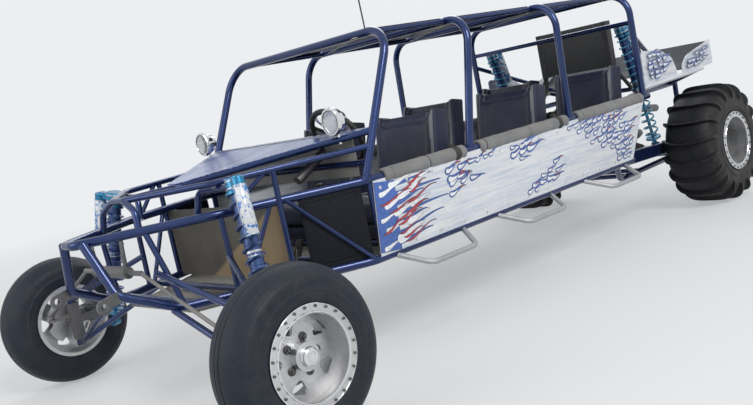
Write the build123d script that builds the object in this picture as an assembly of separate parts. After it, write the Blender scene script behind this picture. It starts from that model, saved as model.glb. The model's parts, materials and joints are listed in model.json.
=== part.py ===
from build123d import *
from math import atan2, cos, degrees, pi, sin
import os

os.makedirs("parts", exist_ok=True)

# A long open dune buggy: a bent-tube frame with seats under four hoops, long-travel
# arms at the front and paddle tyres at the rear. Millimetres.
# +X is forward, +Y is the driver's side, +Z is up, and the ground is at Z = 0.

# Overall
WHEELBASE = 4180
TAIL_OVERHANG = 502  # rear axle to the rear edge of the tail fins
HALF_WIDTH = 717  # centre line of the side tubes
BELT_Z = 885  # centre of the belt rail that the pads lie on
LOWER_Z = 495  # centre of the lower side rail
HOOP_TOP_Z = 1605  # centre of the hoops' top tubes

# Tube and sheet stock
TUBE = 44
CROSS = 38
BRACE = 32
STEP_TUBE = 28
SHEET = 4
RUNNING = 0.05  # radial clearance of a shaft in its bearing
GAP = 6  # between parts that move past each other

# Wheels
FRONT_TYRE_R = 365
FRONT_TYRE_W = 235
FRONT_RIM_R = 195
FRONT_HUB_Y = 1132  # middle of the front tyre
REAR_TYRE_R = 405  # without the paddles
REAR_TYRE_W = 385
REAR_RIM_R = 200
REAR_HUB_Y = 838  # middle of the rear tyre
PADDLE_COUNT = 18
PADDLE_H = 25
PADDLE_T = 22
TYRE_SIDES = 36  # flats round each tyre, a multiple of the paddle count
RIM_WALL = 8
LOCK_RING_R = 206  # outside of the ring that clamps the tyre's bead
AXLE_R = 24
DISC_R = 130  # of the brake disc
DISC_T = 10
DISC_Y = FRONT_HUB_Y - 47

# Front suspension and steering
KINGPIN_Y = 985
KINGPIN_HALF = 125  # from the axle to the middle of each ball joint
BALL_H = 36
BALL_R = 24
PIN_R = 9
STEER_ARM = 130  # kingpin to tie rod end, forward

# Shocks, front and rear alike
SHOCK_R = 45  # of the cap at the top
CAP_H = 62
DAMPER_R = 34
RESERVOIR_OUT = 96  # from the damper to its reservoir
RESERVOIR_R = 31
RESERVOIR_L = 270
SEAT_R = 54
SEAT_T = 12
SEAT_AT = 62  # of the lower spring seat, above the foot
SPRING_R = 44  # of the coil's middle
WIRE_R = 6.5
COIL_PITCH = 52
COIL_END = 0.8  # between the coil and its seats

# Stations along the buggy, as distances behind the front axle
NOSE_TIP = -318
FOOT_FRONT = 888
CABIN_REAR = 3545
TAIL_BAR = 4500

FRONT_AXLE_X = (TAIL_OVERHANG + WHEELBASE - FRONT_TYRE_R) / 2
REAR_AXLE_X = FRONT_AXLE_X - WHEELBASE
REAR_AXLE_Z = REAR_TYRE_R + PADDLE_H

# Hoops: name, foot and top behind the front axle
HOOPS = [
    ("hoop_front", FOOT_FRONT, 1247),
    ("hoop_second", 1678, 1865),
    ("hoop_third", 2645, 2680),
    ("hoop_rear", CABIN_REAR, CABIN_REAR),
]
HOOP_BEND = 150
ROOF_RAIL_Y = HALF_WIDTH - HOOP_BEND - 20

# Seat rows: name, front edge of the cushion behind the front axle
SEATS = [("seat_row_1", 1130), ("seat_row_2", 2060), ("seat_row_3", 2960)]
SEAT_Y = 348  # middle of each seat
SEAT_HALF = 275
BOLSTER = 65

parts = {}


def fx(distance):
    """X of a point that lies this far behind the front axle."""
    return FRONT_AXLE_X - distance


def tube(points, diameter, bends):
    """Solid bent tube along straight runs joined by arcs."""
    path = FilletPolyline(*points, radius=bends)
    return sweep(Plane(origin=path @ 0, z_dir=path % 0) * Circle(diameter / 2), path=path)


def rod(start, end, diameter):
    """Straight round bar between two points."""
    line = Line(start, end)
    return sweep(Plane(origin=start, z_dir=line % 0) * Circle(diameter / 2), path=line)


def there_and_back(half):
    """A path's points on the left, then their mirror images in reverse."""
    return half + [(x, -y, z) for x, y, z in reversed(half)]


def mirrored(part):
    return mirror(part, about=Plane.XZ)


def both(part):
    """The part with its mirror image on the other side."""
    return part + mirrored(part)


def fused(*pieces):
    whole = pieces[0]
    for piece in pieces[1:]:
        whole = whole + piece
    return whole


def joined(pieces):
    return fused(*pieces)


def boxes_meet(one, other):
    first, second = one.bounding_box(), other.bounding_box()
    low = all(a <= b for a, b in zip(tuple(first.min), tuple(second.max)))
    return low and all(a <= b for a, b in zip(tuple(second.min), tuple(first.max)))


def clear_of(part, *names):
    """The part coped to the named nodes that it reaches, one after another."""
    for name in names:
        if boxes_meet(part, parts[name]):
            part = part - parts[name]
    return part


def node(name, part, *coped_to):
    parts[name] = clear_of(part, *coped_to)


def biggest(part):
    return max(part.solids(), key=lambda solid: solid.volume)


def at_station(rail, distance):
    """Point of a rail's centre line this far behind the front axle."""
    for rear, front in zip(rail, rail[1:]):
        if rear[0] <= fx(distance) <= front[0]:
            share = (fx(distance) - rear[0]) / (front[0] - rear[0])
            return tuple(a + share * (b - a) for a, b in zip(rear, front))
    raise ValueError(f"no rail at {distance}")


def left_right(name, part):
    """Left and right copies, each a node of its own."""
    parts[name + "_left"] = part
    parts[name + "_right"] = mirrored(part)


def upright_sheet(outline, y, thickness):
    """Sheet standing along X, from an outline of X and Z."""
    face = make_face(Polyline(*[(x, y, z) for x, z in outline], close=True))
    return extrude(face, thickness, dir=(0, 1, 0))


def turned(section):
    """Solid of revolution about Y, from radius and offset."""
    return revolve(make_face(Polyline(*section, close=True)), Axis.Y)


def across(radius, x, y_from, y_to, z):
    """Round bar along Y."""
    return Pos(x, (y_from + y_to) / 2, z) * Rot(90, 0, 0) * Cylinder(radius, y_to - y_from)


# Belt rail: one tube from the rear hoop round the nose and back
NOSE_Z = BELT_Z + 8
NOSE_HALF = 55
SHOULDER = HALF_WIDTH - 307  # where the belt rail turns in to the nose
belt_half = [
    (fx(CABIN_REAR + 60), HALF_WIDTH, BELT_Z),
    (fx(FOOT_FRONT), HALF_WIDTH, BELT_Z),
    (fx(195), SHOULDER, NOSE_Z),
    (fx(NOSE_TIP), NOSE_HALF, NOSE_Z),
]
belt_rail = tube(there_and_back(belt_half), TUBE, [120, 260, 50, 50, 260, 120])
node("belt_rail", belt_rail)

# Lower rails, sloping up to the nose, and the crossbars of the floor
FLOOR_FRONT = 845
FLOOR_REAR = 3260
LOWER_RISE = 25  # of the lower rail from the cabin floor to the nose
LOWER_NOSE_Y = HALF_WIDTH - 387
lower_half = [
    (fx(FLOOR_REAR + 20), HALF_WIDTH, LOWER_Z),
    (fx(FLOOR_FRONT), HALF_WIDTH, LOWER_Z),
    (fx(-20), LOWER_NOSE_Y, LOWER_Z + LOWER_RISE),
    (fx(-265), 250, 650),
    (fx(-300), 110, NOSE_Z),
]
node("lower_rails", both(tube(lower_half, TUBE, [120, 200, 60])), "belt_rail")
crossbars = []
for distance in (60, 300):
    x, reach, z = at_station(lower_half, distance)
    crossbars.append(across(BRACE / 2, x, -reach, reach, z))
floor_stations = [FLOOR_FRONT]
for name, distance in SEATS:
    floor_stations += [distance + 50, distance + 320]
for distance in floor_stations:
    crossbars.append(across(CROSS / 2, fx(distance), -HALF_WIDTH, HALF_WIDTH, LOWER_Z))
node("floor_crossbars", joined(crossbars), "lower_rails")

# Posts between the lower rail and the belt rail
posts = [
    rod((fx(distance), HALF_WIDTH, LOWER_Z), (fx(distance), HALF_WIDTH, BELT_Z), BRACE)
    for distance in (FOOT_FRONT + 20, 1688, 2655)
]
posts.append(rod((fx(3262), HALF_WIDTH, LOWER_Z), (fx(3510), HALF_WIDTH, BELT_Z), BRACE))
node("side_posts", both(joined(posts)), "belt_rail", "lower_rails", "floor_crossbars")

# Hoops: legs from the belt rail to a top tube with wide bends
for name, foot, top in HOOPS:
    half = [(fx(foot), HALF_WIDTH, BELT_Z), (fx(top), HALF_WIDTH, HOOP_TOP_Z)]
    node(name, tube(there_and_back(half), TUBE, HOOP_BEND), "belt_rail")
hoop_names = [name for name, foot, top in HOOPS]

# Roof: rails between the hoops and a sheet over each bay
roof_ends = [(fx(HOOPS[end][2]), ROOF_RAIL_Y, HOOP_TOP_Z) for end in (0, 3)]
roof_rail = rod(*roof_ends, BRACE)
node("roof_rails", both(roof_rail), *hoop_names)
roof_sheets = []
for (name, foot, front_top), (next_name, next_foot, rear_top) in zip(HOOPS, HOOPS[1:]):
    length = rear_top - front_top - TUBE - 40
    centre = fx((front_top + rear_top) / 2)
    roof_sheets.append(
        Pos(centre, 0, HOOP_TOP_Z + BRACE / 2 - 1) * Box(length, 2 * ROOF_RAIL_Y + 20, SHEET)
    )
node("roof_sheets", joined(roof_sheets), "roof_rails")

# Hood rails, the nose hoop in front of them and the upper side rails
HOOD_FRONT = 270
HOOD_FRONT_Z = 1035
HOOD_REAR_Z = 1115
UPPER_Z = 1045  # of the upper side rail where it meets the front hoop's leg
HOOD_TIP = 45  # half the width of the hood rail's tip


def on_front_leg(z):
    """Distance behind the front axle of the front hoop's leg at this height."""
    share = (z - BELT_Z) / (HOOP_TOP_Z - BELT_Z)
    return FOOT_FRONT + share * (HOOPS[0][2] - FOOT_FRONT)


HOOD_REAR = on_front_leg(HOOD_REAR_Z)
hood_rail = [
    (fx(HOOD_REAR), HALF_WIDTH, HOOD_REAR_Z),
    (fx(HOOD_FRONT), HOOD_TIP, HOOD_FRONT_Z),
]
node("hood_rail", tube(there_and_back(hood_rail), BRACE, [60, 60]), "hoop_front")
nose_hoop = [(fx(-60), 190, NOSE_Z), (fx(-50), 170, 985), (fx(-40), 60, HOOD_FRONT_Z)]
node("nose_hoop", tube(there_and_back(nose_hoop), BRACE, 55), "belt_rail")
upper_half = [
    (fx(on_front_leg(UPPER_Z)), HALF_WIDTH, UPPER_Z),
    (fx(225), HALF_WIDTH - 247, UPPER_Z - 5),
    (fx(-38), 66, HOOD_FRONT_Z),
]
node("upper_rails", both(tube(upper_half, 30, 160)), "hoop_front", "hood_rail", "nose_hoop")

# Nose braces: shock towers, uprights, diagonals, the strut to the nose hoop and the dash bar
DASH_BAR = 930
SHOCK_TOP = (fx(235), HALF_WIDTH - 117, 1050)
TOWER_Z = UPPER_Z - 35
tower = [
    (fx(195), SHOULDER - 120, NOSE_Z),
    (fx(215), SHOULDER - 100, TOWER_Z),
    (SHOCK_TOP[0], SHOULDER + 10, TOWER_Z),
    (SHOCK_TOP[0], SHOCK_TOP[1] - SHOCK_R + 4, TOWER_Z),
]
nose_braces = [
    both(tube(tower, BRACE, [50, 20])),
    rod((fx(-45), 0, HOOD_FRONT_Z), (fx(HOOD_FRONT), 0, HOOD_FRONT_Z), 28),
    across(BRACE / 2, fx(DASH_BAR), -HALF_WIDTH, HALF_WIDTH, 969),
]
# Side braces: rail and distance at the foot, rail and distance at the head, diameter
BRACES = [
    (lower_half, 0, belt_half, -60, 28),
    (lower_half, 230, belt_half, 230, 28),
    (lower_half, 480, upper_half, 480, 28),
    (lower_half, 262, belt_half, 452, 24),
    (belt_half, 270, upper_half, 448, 24),
]
for foot_rail, foot_at, head_rail, head_at, diameter in BRACES:
    nose_braces.append(both(rod(at_station(foot_rail, foot_at), at_station(head_rail, head_at), diameter)))
# Brace over the footwell's side sheet: rail, distance, and reach out from the rail's middle
FOOT_BRACE = [(lower_half, 852, 14), (belt_half, 500, 26)]
foot_brace = [Vector(*at_station(rail, at)) + Vector(0, reach, 0) for rail, at, reach in FOOT_BRACE]
nose_braces.append(both(rod(*foot_brace, 22)))
NOSE_FRAME = ["belt_rail", "lower_rails", "hood_rail", "nose_hoop", "upper_rails", "floor_crossbars"]
node("nose_braces", joined(nose_braces), *NOSE_FRAME, "hoop_front", "side_posts")

# Engine frame: upper and lower rails carried back from the cabin
REAR_RAIL_Y = 420
REAR_LOW_Z = 330
ENGINE_X = fx(3800)
TAIL = 4560
SHOCK_BAR_Z = 1404
rear_belt = [
    (fx(CABIN_REAR), HALF_WIDTH - 10, BELT_Z),
    (fx(3720), 500, BELT_Z),
    (fx(TAIL), REAR_RAIL_Y, BELT_Z),
]
rear_rail = tube(there_and_back(rear_belt), 40, [110, 120, 120, 110])
node("engine_rail_upper", rear_rail, "belt_rail", "hoop_rear", "side_posts")
rear_low = [
    (fx(FLOOR_REAR), 600, LOWER_Z),
    (fx(3480), 470, REAR_LOW_Z),
    (fx(TAIL), REAR_RAIL_Y, REAR_LOW_Z),
    (fx(TAIL), REAR_RAIL_Y, BELT_Z),
]
low_rails = both(tube(rear_low, 40, [90, 90]))
node("engine_rails_lower", low_rails, "floor_crossbars", "lower_rails", "engine_rail_upper")
FIN_Y = HALF_WIDTH - 27
engine_braces = [
    both(rod((fx(CABIN_REAR), HALF_WIDTH - 4, SHOCK_BAR_Z - 90), (fx(TAIL_BAR), 430, BELT_Z), BRACE)),
    across(BRACE / 2, fx(CABIN_REAR), -HALF_WIDTH, HALF_WIDTH, SHOCK_BAR_Z),
    across(BRACE / 2, fx(3600), -470, 470, REAR_LOW_Z),
    across(BRACE / 2, ENGINE_X, -456, 456, REAR_LOW_Z),
    across(BRACE / 2, fx(4480), -425, 425, REAR_LOW_Z),
    both(rod((fx(TAIL_BAR - 60), 435, BELT_Z), (fx(TAIL_BAR - 60), FIN_Y - 4, 960), 28)),
]
REAR_FRAME = ["engine_rail_upper", "engine_rails_lower"]
node("engine_braces", joined(engine_braces), "hoop_rear", "belt_rail", *REAR_FRAME)
FRAME = [*NOSE_FRAME, "nose_braces", "side_posts", *hoop_names, "roof_rails", *REAR_FRAME, "engine_braces"]

# Floor, hood, dash and side sheets
FLOOR_TOP = LOWER_Z - CROSS / 2 + 1
floor_outline = [(fx(40), 325), (fx(FLOOR_FRONT), HALF_WIDTH), (fx(FLOOR_REAR), HALF_WIDTH)]
floor_outline += [(x, -y) for x, y in reversed(floor_outline)]
floor_face = make_face(Polyline(*[(x, y, FLOOR_TOP) for x, y in floor_outline], close=True))
node("belly_pan", extrude(floor_face, SHEET, dir=(0, 0, -1)), *FRAME)

slope = atan2(HOOD_REAR_Z - HOOD_FRONT_Z, HOOD_REAR - HOOD_FRONT)
hood_plane = Plane(
    origin=(fx(HOOD_FRONT), 0, HOOD_FRONT_Z + BRACE / 2 - 1),
    x_dir=(-cos(slope), 0, sin(slope)),
    z_dir=(sin(slope), 0, cos(slope)),
)
hood_outline = [(-8, HOOD_TIP + 8), (HOOD_REAR - HOOD_FRONT, HALF_WIDTH - 9)]
hood_outline += [(x, -y) for x, y in reversed(hood_outline)]
node("hood", extrude(hood_plane * make_face(Polyline(*hood_outline, close=True)), SHEET), *FRAME)

PANEL_Y = HALF_WIDTH + TUBE / 2 - 3
side_outline = [
    (fx(FOOT_FRONT + 27), BELT_Z - 9),
    (fx(3507), BELT_Z - 9),
    (fx(3250), LOWER_Z + 10),
    (fx(FLOOR_FRONT + 27), LOWER_Z + 10),
]
side_panel = upright_sheet(side_outline, PANEL_Y, SHEET)
left_right("side_panel", clear_of(side_panel, *FRAME))

# Footwell: a bulkhead in front and a sheet at each side
BULKHEAD = 490
bulkhead_half = at_station(belt_half, BULKHEAD)[1]
bulkhead = [
    (fx(BULKHEAD), y, z) for y in (-bulkhead_half, bulkhead_half) for z in (LOWER_Z + 10, BELT_Z - 8)
]
bulkhead_face = make_face(Polyline(bulkhead[0], bulkhead[1], bulkhead[3], bulkhead[2], close=True))
footwell_side = []
for distance, low, high in ((565, LOWER_Z + 12, BELT_Z - 4), (852, LOWER_Z + 2, BELT_Z - 4)):
    x, y, z = at_station(lower_half, distance)
    footwell_side += [(x, y - 10, low), (x, y - 10, high)]
side_face = make_face(
    Polyline(footwell_side[0], footwell_side[1], footwell_side[3], footwell_side[2], close=True)
)
footwell = extrude(bulkhead_face, SHEET / 2, dir=(1, 0, 0), both=True)
footwell += both(extrude(side_face, SHEET, dir=(0, 1, 0)))
node("footwell_panels", footwell, "belly_pan", *FRAME)

# Tow eyes welded to the lower rails at the nose
EYE_AT = (fx(-338), 262, 622)
EYE_BORE_R = 16
EYE_THICK = 14
eye_web = [(-338, 655), (-338, 590), (-250, 628), (-262, 672)]
eye = upright_sheet([(fx(x), z) for x, z in eye_web], EYE_AT[1] - EYE_THICK / 2, EYE_THICK)
eye += across(34, EYE_AT[0], EYE_AT[1] - EYE_THICK / 2, EYE_AT[1] + EYE_THICK / 2, EYE_AT[2])
eye -= across(EYE_BORE_R, EYE_AT[0], EYE_AT[1] - EYE_THICK, EYE_AT[1] + EYE_THICK, EYE_AT[2])
node("tow_eyes", both(eye), *FRAME)

# Foam pads on the belt rail between the hoops
PAD_R = 38
pads = [
    Pos(fx((front + rear) / 2), HALF_WIDTH, BELT_Z) * Rot(0, 90, 0) * Cylinder(PAD_R, rear - front)
    for front, rear in ((1000, 1620), (1740, 2590), (2700, 3490))
]
node("rail_pads", both(joined(pads)), "side_panel_left", "side_panel_right", *FRAME)

# Steps under the side rail, one to each bay
STEP_OUT = 165
steps = []
for front, rear in ((985, 1500), (1790, 2310), (2660, 3160)):
    step = [
        (fx(front), HALF_WIDTH, LOWER_Z - 8),
        (fx(front + 90), HALF_WIDTH + STEP_OUT, LOWER_Z - 75),
        (fx(rear - 90), HALF_WIDTH + STEP_OUT, LOWER_Z - 75),
        (fx(rear), HALF_WIDTH, LOWER_Z - 8),
    ]
    steps.append(tube(step, STEP_TUBE, 60))
node("side_steps", both(joined(steps)), "belly_pan", *FRAME)

# Seats: two to a row, each with a pad between raised bolsters, standing on the crossbars
SEAT_FOOT = LOWER_Z + CROSS / 2 - 1
SEAT_CORNERS = [50, 40, 30, 30]
# Side outlines, back from the front edge and up from the foot
PAD_OUTLINE = [(0, 0), (0, 210), (400, 170), (490, 625), (590, 615), (350, 0)]
BOLSTER_OUTLINE = [(0, 0), (0, 243), (376, 203), (465, 640), (590, 630), (350, 0)]


def seat_slab(outline, front, y_from, y_to):
    """Slab of a seat, from its side outline, between two sides."""
    points = [(fx(front + x), y_from, SEAT_FOOT + z) for x, z in outline]
    edge = FilletPolyline(*points, radius=SEAT_CORNERS)
    return extrude(make_face(edge + Line(edge @ 1, edge @ 0)), y_to - y_from, dir=(0, 1, 0))


for name, distance in SEATS:
    seat = seat_slab(PAD_OUTLINE, distance, SEAT_Y - SEAT_HALF + BOLSTER, SEAT_Y + SEAT_HALF - BOLSTER)
    for side in (SEAT_Y - SEAT_HALF, SEAT_Y + SEAT_HALF - BOLSTER):
        seat += seat_slab(BOLSTER_OUTLINE, distance, side, side + BOLSTER)
    node(name, both(seat), *FRAME)

# Engine: block and pan on a crossbar, two banks of heads with covers, front pulleys
ENGINE_LENGTH = 400
PAN_FOOT = REAR_LOW_Z + BRACE / 2 - 3
PAN_TOP = 475
BANK_TILT = 32
engine = Pos(ENGINE_X, 0, 600) * Box(ENGINE_LENGTH, 270, 270)
engine += Pos(ENGINE_X, 0, (PAN_FOOT + PAN_TOP) / 2) * Box(ENGINE_LENGTH - 60, 220, PAN_TOP - PAN_FOOT)
for side in (-1, 1):
    bank = Pos(ENGINE_X, side * 90, 640) * Rot(-side * BANK_TILT, 0, 0)
    engine += bank * Pos(0, 0, 100) * Box(ENGINE_LENGTH - 20, 150, 170)
    engine += bank * Pos(0, 0, 205) * fillet(Box(ENGINE_LENGTH - 40, 120, 50).edges().filter_by(Axis.X), 16)
# Pulleys: Y, Z and radius
PULLEYS = [(0, 500, 85), (0, 690, 62), (150, 600, 48), (-160, 640, 56)]
for y, z, radius in PULLEYS:
    shaft = Pos(ENGINE_X + ENGINE_LENGTH / 2 + 12, y, z) * Rot(0, 90, 0)
    engine += shaft * Cylinder(radius, 26) - shaft * Pos(0, 0, 13) * Cylinder(radius - 14, 12)
    engine += Pos(ENGINE_X + ENGINE_LENGTH / 2 - 60, y * 0.85, z) * Box(140, 60, 60)
node("engine", engine, *FRAME)

# Intake over the block: plenum, a runner to each cylinder and a round filter in front
PLENUM_Z = 905
intake = Pos(ENGINE_X, 0, PLENUM_Z) * fillet(Box(ENGINE_LENGTH - 80, 110, 70).edges().filter_by(Axis.X), 24)
for x in (-115, 0, 115):
    for side in (-1, 1):
        intake += rod((ENGINE_X + x, side * 40, PLENUM_Z), (ENGINE_X + x, side * 118, 800), 44)
FILTER_AT = (ENGINE_X - 90, 0, PLENUM_Z + 105)
intake += Pos(ENGINE_X - 90, 0, PLENUM_Z + 50) * Cylinder(42, 60)
intake += Pos(*FILTER_AT) * Cylinder(105, 78) + Pos(0, 0, 44) * Pos(*FILTER_AT) * Cylinder(112, 12)
node("engine_intake", intake, "engine", *FRAME)

TRANSAXLE_HALF = 140
transaxle = Pos(REAR_AXLE_X, 0, REAR_AXLE_Z + 20) * Box(230, 2 * TRANSAXLE_HALF - 70, 250)
transaxle += Pos(REAR_AXLE_X - 170, 0, REAR_AXLE_Z + 20) * Box(120, 150, 190)
transaxle += across(105, REAR_AXLE_X, -TRANSAXLE_HALF, TRANSAXLE_HALF, REAR_AXLE_Z)
bell_front = ENGINE_X - ENGINE_LENGTH / 2
bell = Plane(origin=(bell_front, 0, REAR_AXLE_Z + 60), x_dir=(0, 1, 0), z_dir=(-1, 0, 0))
bell_length = bell_front - REAR_AXLE_X - 110
transaxle += bell * Pos(0, 0, bell_length / 2) * Cone(150, 110, bell_length)
node("transaxle", transaxle, "engine", *FRAME)

# Radiator: slats between side tanks, with a fan shroud behind
RADIATOR_AT = (fx(3900), 0, 1290)
RADIATOR_HALF = 320
RADIATOR_H = 340
SLAT_PITCH = 24
TANK_W = 46
tank = Pos(0, RADIATOR_HALF - TANK_W / 2, 0) * Box(60, TANK_W, RADIATOR_H)
core = both(tank)
slat_count = RADIATOR_H // SLAT_PITCH
for index in range(slat_count):
    z = (index - (slat_count - 1) / 2) * SLAT_PITCH
    core += Pos(6, 0, z) * Box(36, 2 * (RADIATOR_HALF - TANK_W) + 4, 7)
shroud = Pos(-26, 0, 0) * Box(8, 2 * (RADIATOR_HALF - TANK_W) + 4, RADIATOR_H)
for y in (-136, 136):
    fan = Pos(-26, y, 0) * Rot(0, 90, 0)
    shroud = shroud - fan * Cylinder(122, 20) + fan * Cylinder(34, 16)
    for turn in (30, 90, 150):
        shroud += fan * Rot(0, 0, turn) * Box(10, 250, 8)
core += shroud
radiator = Pos(*RADIATOR_AT) * core
leg_top = (RADIATOR_AT[0], RADIATOR_HALF - TANK_W / 2, RADIATOR_AT[2] - RADIATOR_H / 2 + 10)
radiator += both(rod(leg_top, (RADIATOR_AT[0], 465, BELT_Z), 28))
node("radiator", radiator, *FRAME)

# Tail fins on a bar at each side, and the wing sheet between the rear pair
FIN_BAR_Z = 950
# Fin outlines: distance behind the front axle and height, and the radius of the corners
FRONT_FIN = [(3640, 950), (3640, 1195), (3905, 1172), (4060, 1105), (4105, 1010), (4105, 955)]
REAR_FIN = [(4188, 950), (4682, 985), (4682, 1170), (4270, 1088), (4195, 1030)]
FINS = [(FRONT_FIN, [18, 30, 200, 90, 40, 18]), (REAR_FIN, [18, 18, 6, 160, 40])]
tail_fins = rod((fx(CABIN_REAR), FIN_Y, FIN_BAR_Z - 15), (fx(TAIL_BAR), FIN_Y, FIN_BAR_Z + 15), BRACE)
for outline, corners in FINS:
    fin_edge = FilletPolyline(*[(fx(x), FIN_Y, z) for x, z in outline], radius=corners, close=True)
    tail_fins += extrude(make_face(fin_edge), SHEET, dir=(0, 1, 0))
node("tail_fins", both(tail_fins), *FRAME)
wing_section = [(4205, 1000), (4400, 1040), (4660, 1160), (4665, 1156), (4403, 1034), (4207, 994)]
wing_face = make_face(Polyline(*[(fx(x), 0, z) for x, z in wing_section], close=True))
node("tail_wing", extrude(wing_face, FIN_Y, dir=(0, 1, 0), both=True), "tail_fins", *FRAME)

# Front arms: two legs to a ball joint, above and below the axle
LOW_BALL_Z = FRONT_TYRE_R - KINGPIN_HALF
HIGH_BALL_Z = FRONT_TYRE_R + KINGPIN_HALF
ARM_REACH = KINGPIN_Y - BALL_R + 6
low_legs = [
    rod((fx(-50), 320, LOWER_Z + 20), (FRONT_AXLE_X, ARM_REACH, LOW_BALL_Z), BRACE),
    rod((fx(300), 460, LOWER_Z + 8), (FRONT_AXLE_X, ARM_REACH, LOW_BALL_Z), BRACE - 2),
]
high_legs = [
    rod((fx(-60), 270, 690), (FRONT_AXLE_X, ARM_REACH, HIGH_BALL_Z), BRACE),
    rod((fx(230), 425, 690), (FRONT_AXLE_X, ARM_REACH, HIGH_BALL_Z), BRACE - 2),
]
SHOCK_FOOT = (fx(146), 800, 325)
shock_pin = rod((fx(90), 800, 321), SHOCK_FOOT, 20)
kingpin_at = Pos(FRONT_AXLE_X, KINGPIN_Y, FRONT_TYRE_R)
pin_hole = kingpin_at * Cylinder(PIN_R + RUNNING, 400)
knuckle_room = kingpin_at * Box(80, 80, 2 * KINGPIN_HALF - BALL_H)
bosses = [Pos(FRONT_AXLE_X, KINGPIN_Y, z) * Cylinder(BALL_R, BALL_H) for z in (LOW_BALL_Z, HIGH_BALL_Z)]
arms = fused(low_legs[0], low_legs[1], bosses[0], shock_pin) + fused(high_legs[0], high_legs[1], bosses[1])
node("front_arms", both(arms - pin_hole - knuckle_room), *FRAME)



def shock_plane(foot, top, side):
    """Plane at a shock's foot, with Z up the shock and X towards its reservoir."""
    return Plane(origin=foot, x_dir=side, z_dir=Vector(*top) - Vector(*foot))


def shock(foot, top, side):
    """Damper between its spring seats, with eyes, a cap and a bridged reservoir."""
    length = (Vector(*top) - Vector(*foot)).length
    eye = Rot(90, 0, 0) * Cylinder(24, 44)
    body = fused(
        eye,
        Pos(0, 0, 30) * Cylinder(16, 60),
        Pos(0, 0, SEAT_AT) * Cylinder(SEAT_R, SEAT_T),
        Pos(0, 0, length * 0.25) * Cylinder(11, length * 0.5),
        Pos(0, 0, (length * 0.4 + length - CAP_H) / 2) * Cylinder(DAMPER_R, length * 0.6 - CAP_H),
        Pos(0, 0, length - CAP_H - SEAT_T / 2) * Cylinder(SEAT_R, SEAT_T),
        Pos(0, 0, length - CAP_H / 2) * fillet(Cylinder(SHOCK_R, CAP_H).edges(), 8),
        Pos(RESERVOIR_OUT / 2, 0, length - CAP_H / 2) * Box(RESERVOIR_OUT, 34, 36),
        Pos(RESERVOIR_OUT, 0, length - 20 - RESERVOIR_L / 2)
        * fillet(Cylinder(RESERVOIR_R, RESERVOIR_L).edges(), 7),
    )
    return shock_plane(foot, top, side) * body


def spring(foot, top, side):
    """Coil between the two spring seats of a shock."""
    length = (Vector(*top) - Vector(*foot)).length
    low = SEAT_AT + SEAT_T / 2 + WIRE_R + COIL_END
    high = length - CAP_H - SEAT_T - WIRE_R - COIL_END
    path = Pos(0, 0, low) * Helix(pitch=COIL_PITCH, height=high - low, radius=SPRING_R)
    wire = Plane(origin=path @ 0, z_dir=path % 0) * RegularPolygon(WIRE_R, 8)
    return shock_plane(foot, top, side) * sweep(wire, path=path, is_frenet=True)


FRONT_SHOCK = (SHOCK_FOOT, SHOCK_TOP, (0.4, 0.92, 0))
node("front_shocks", both(shock(*FRONT_SHOCK)), "front_arms", *FRAME)
node("front_springs", both(spring(*FRONT_SHOCK)))

# Knuckle with kingpins, spindle and steering arm, turning as one
disc_room = DISC_T / 2 + GAP
caliper = Pos(0, DISC_Y - KINGPIN_Y, 0) * fillet(Box(50, 60, 92).edges().filter_by(Axis.Y), 12)
caliper += Pos(0, 48, 0) * Box(44, 64, 56)
caliper = Pos(-128, 0, 0) * kingpin_at * caliper
caliper -= across(DISC_R + GAP, FRONT_AXLE_X, DISC_Y - disc_room, DISC_Y + disc_room, FRONT_TYRE_R)
knuckle_half = KINGPIN_HALF - BALL_H / 2 - 1
STEER_ARM_Z = FRONT_TYRE_R + 40
EYE_H = 16
knuckle = fused(
    kingpin_at * Box(56, 46, 2 * knuckle_half),
    kingpin_at * Cylinder(PIN_R, 2 * KINGPIN_HALF + BALL_H),
    across(AXLE_R, FRONT_AXLE_X, KINGPIN_Y, FRONT_HUB_Y + 60, FRONT_TYRE_R),
    Pos(FRONT_AXLE_X + STEER_ARM / 2 + 10, KINGPIN_Y, STEER_ARM_Z) * Box(STEER_ARM - 20, 30, EYE_H),
    Pos(FRONT_AXLE_X + STEER_ARM, KINGPIN_Y, STEER_ARM_Z) * Cylinder(18, EYE_H),
    Pos(-75, 20, 0) * kingpin_at * Box(150, 14, 44),
    caliper,
)
left_right("front_knuckle", knuckle)

# Steering rack: rod that slides across in its housing, with a tie rod to each steering arm
RACK_X = FRONT_AXLE_X + 150
RACK_Z = 720
RACK_HALF = 300
RACK_R = 12
TIE_Z = STEER_ARM_Z + EYE_H + GAP
tie_end = Pos(FRONT_AXLE_X + STEER_ARM, KINGPIN_Y, TIE_Z) * Cylinder(18, EYE_H)
tie_rod = rod((RACK_X, RACK_HALF - 10, RACK_Z), (FRONT_AXLE_X + STEER_ARM, KINGPIN_Y, TIE_Z + 4), 18)
under_tie = Pos(FRONT_AXLE_X + STEER_ARM, KINGPIN_Y, TIE_Z - EYE_H / 2 - 20) * Box(80, 80, 40)
rack_bar = across(RACK_R, RACK_X, -RACK_HALF, RACK_HALF, RACK_Z)
node("steering_rack", rack_bar + both(tie_rod + tie_end - under_tie))
rack_hole = across(RACK_R + RUNNING, RACK_X, -200, 200, RACK_Z)
rack_tube = across(28, RACK_X, -170, 170, RACK_Z)
hangers = both(rod((RACK_X, 150, RACK_Z), (RACK_X, 171, NOSE_Z), 20))
node("rack_housing", fused(rack_tube, hangers) - rack_hole, *FRAME)


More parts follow.
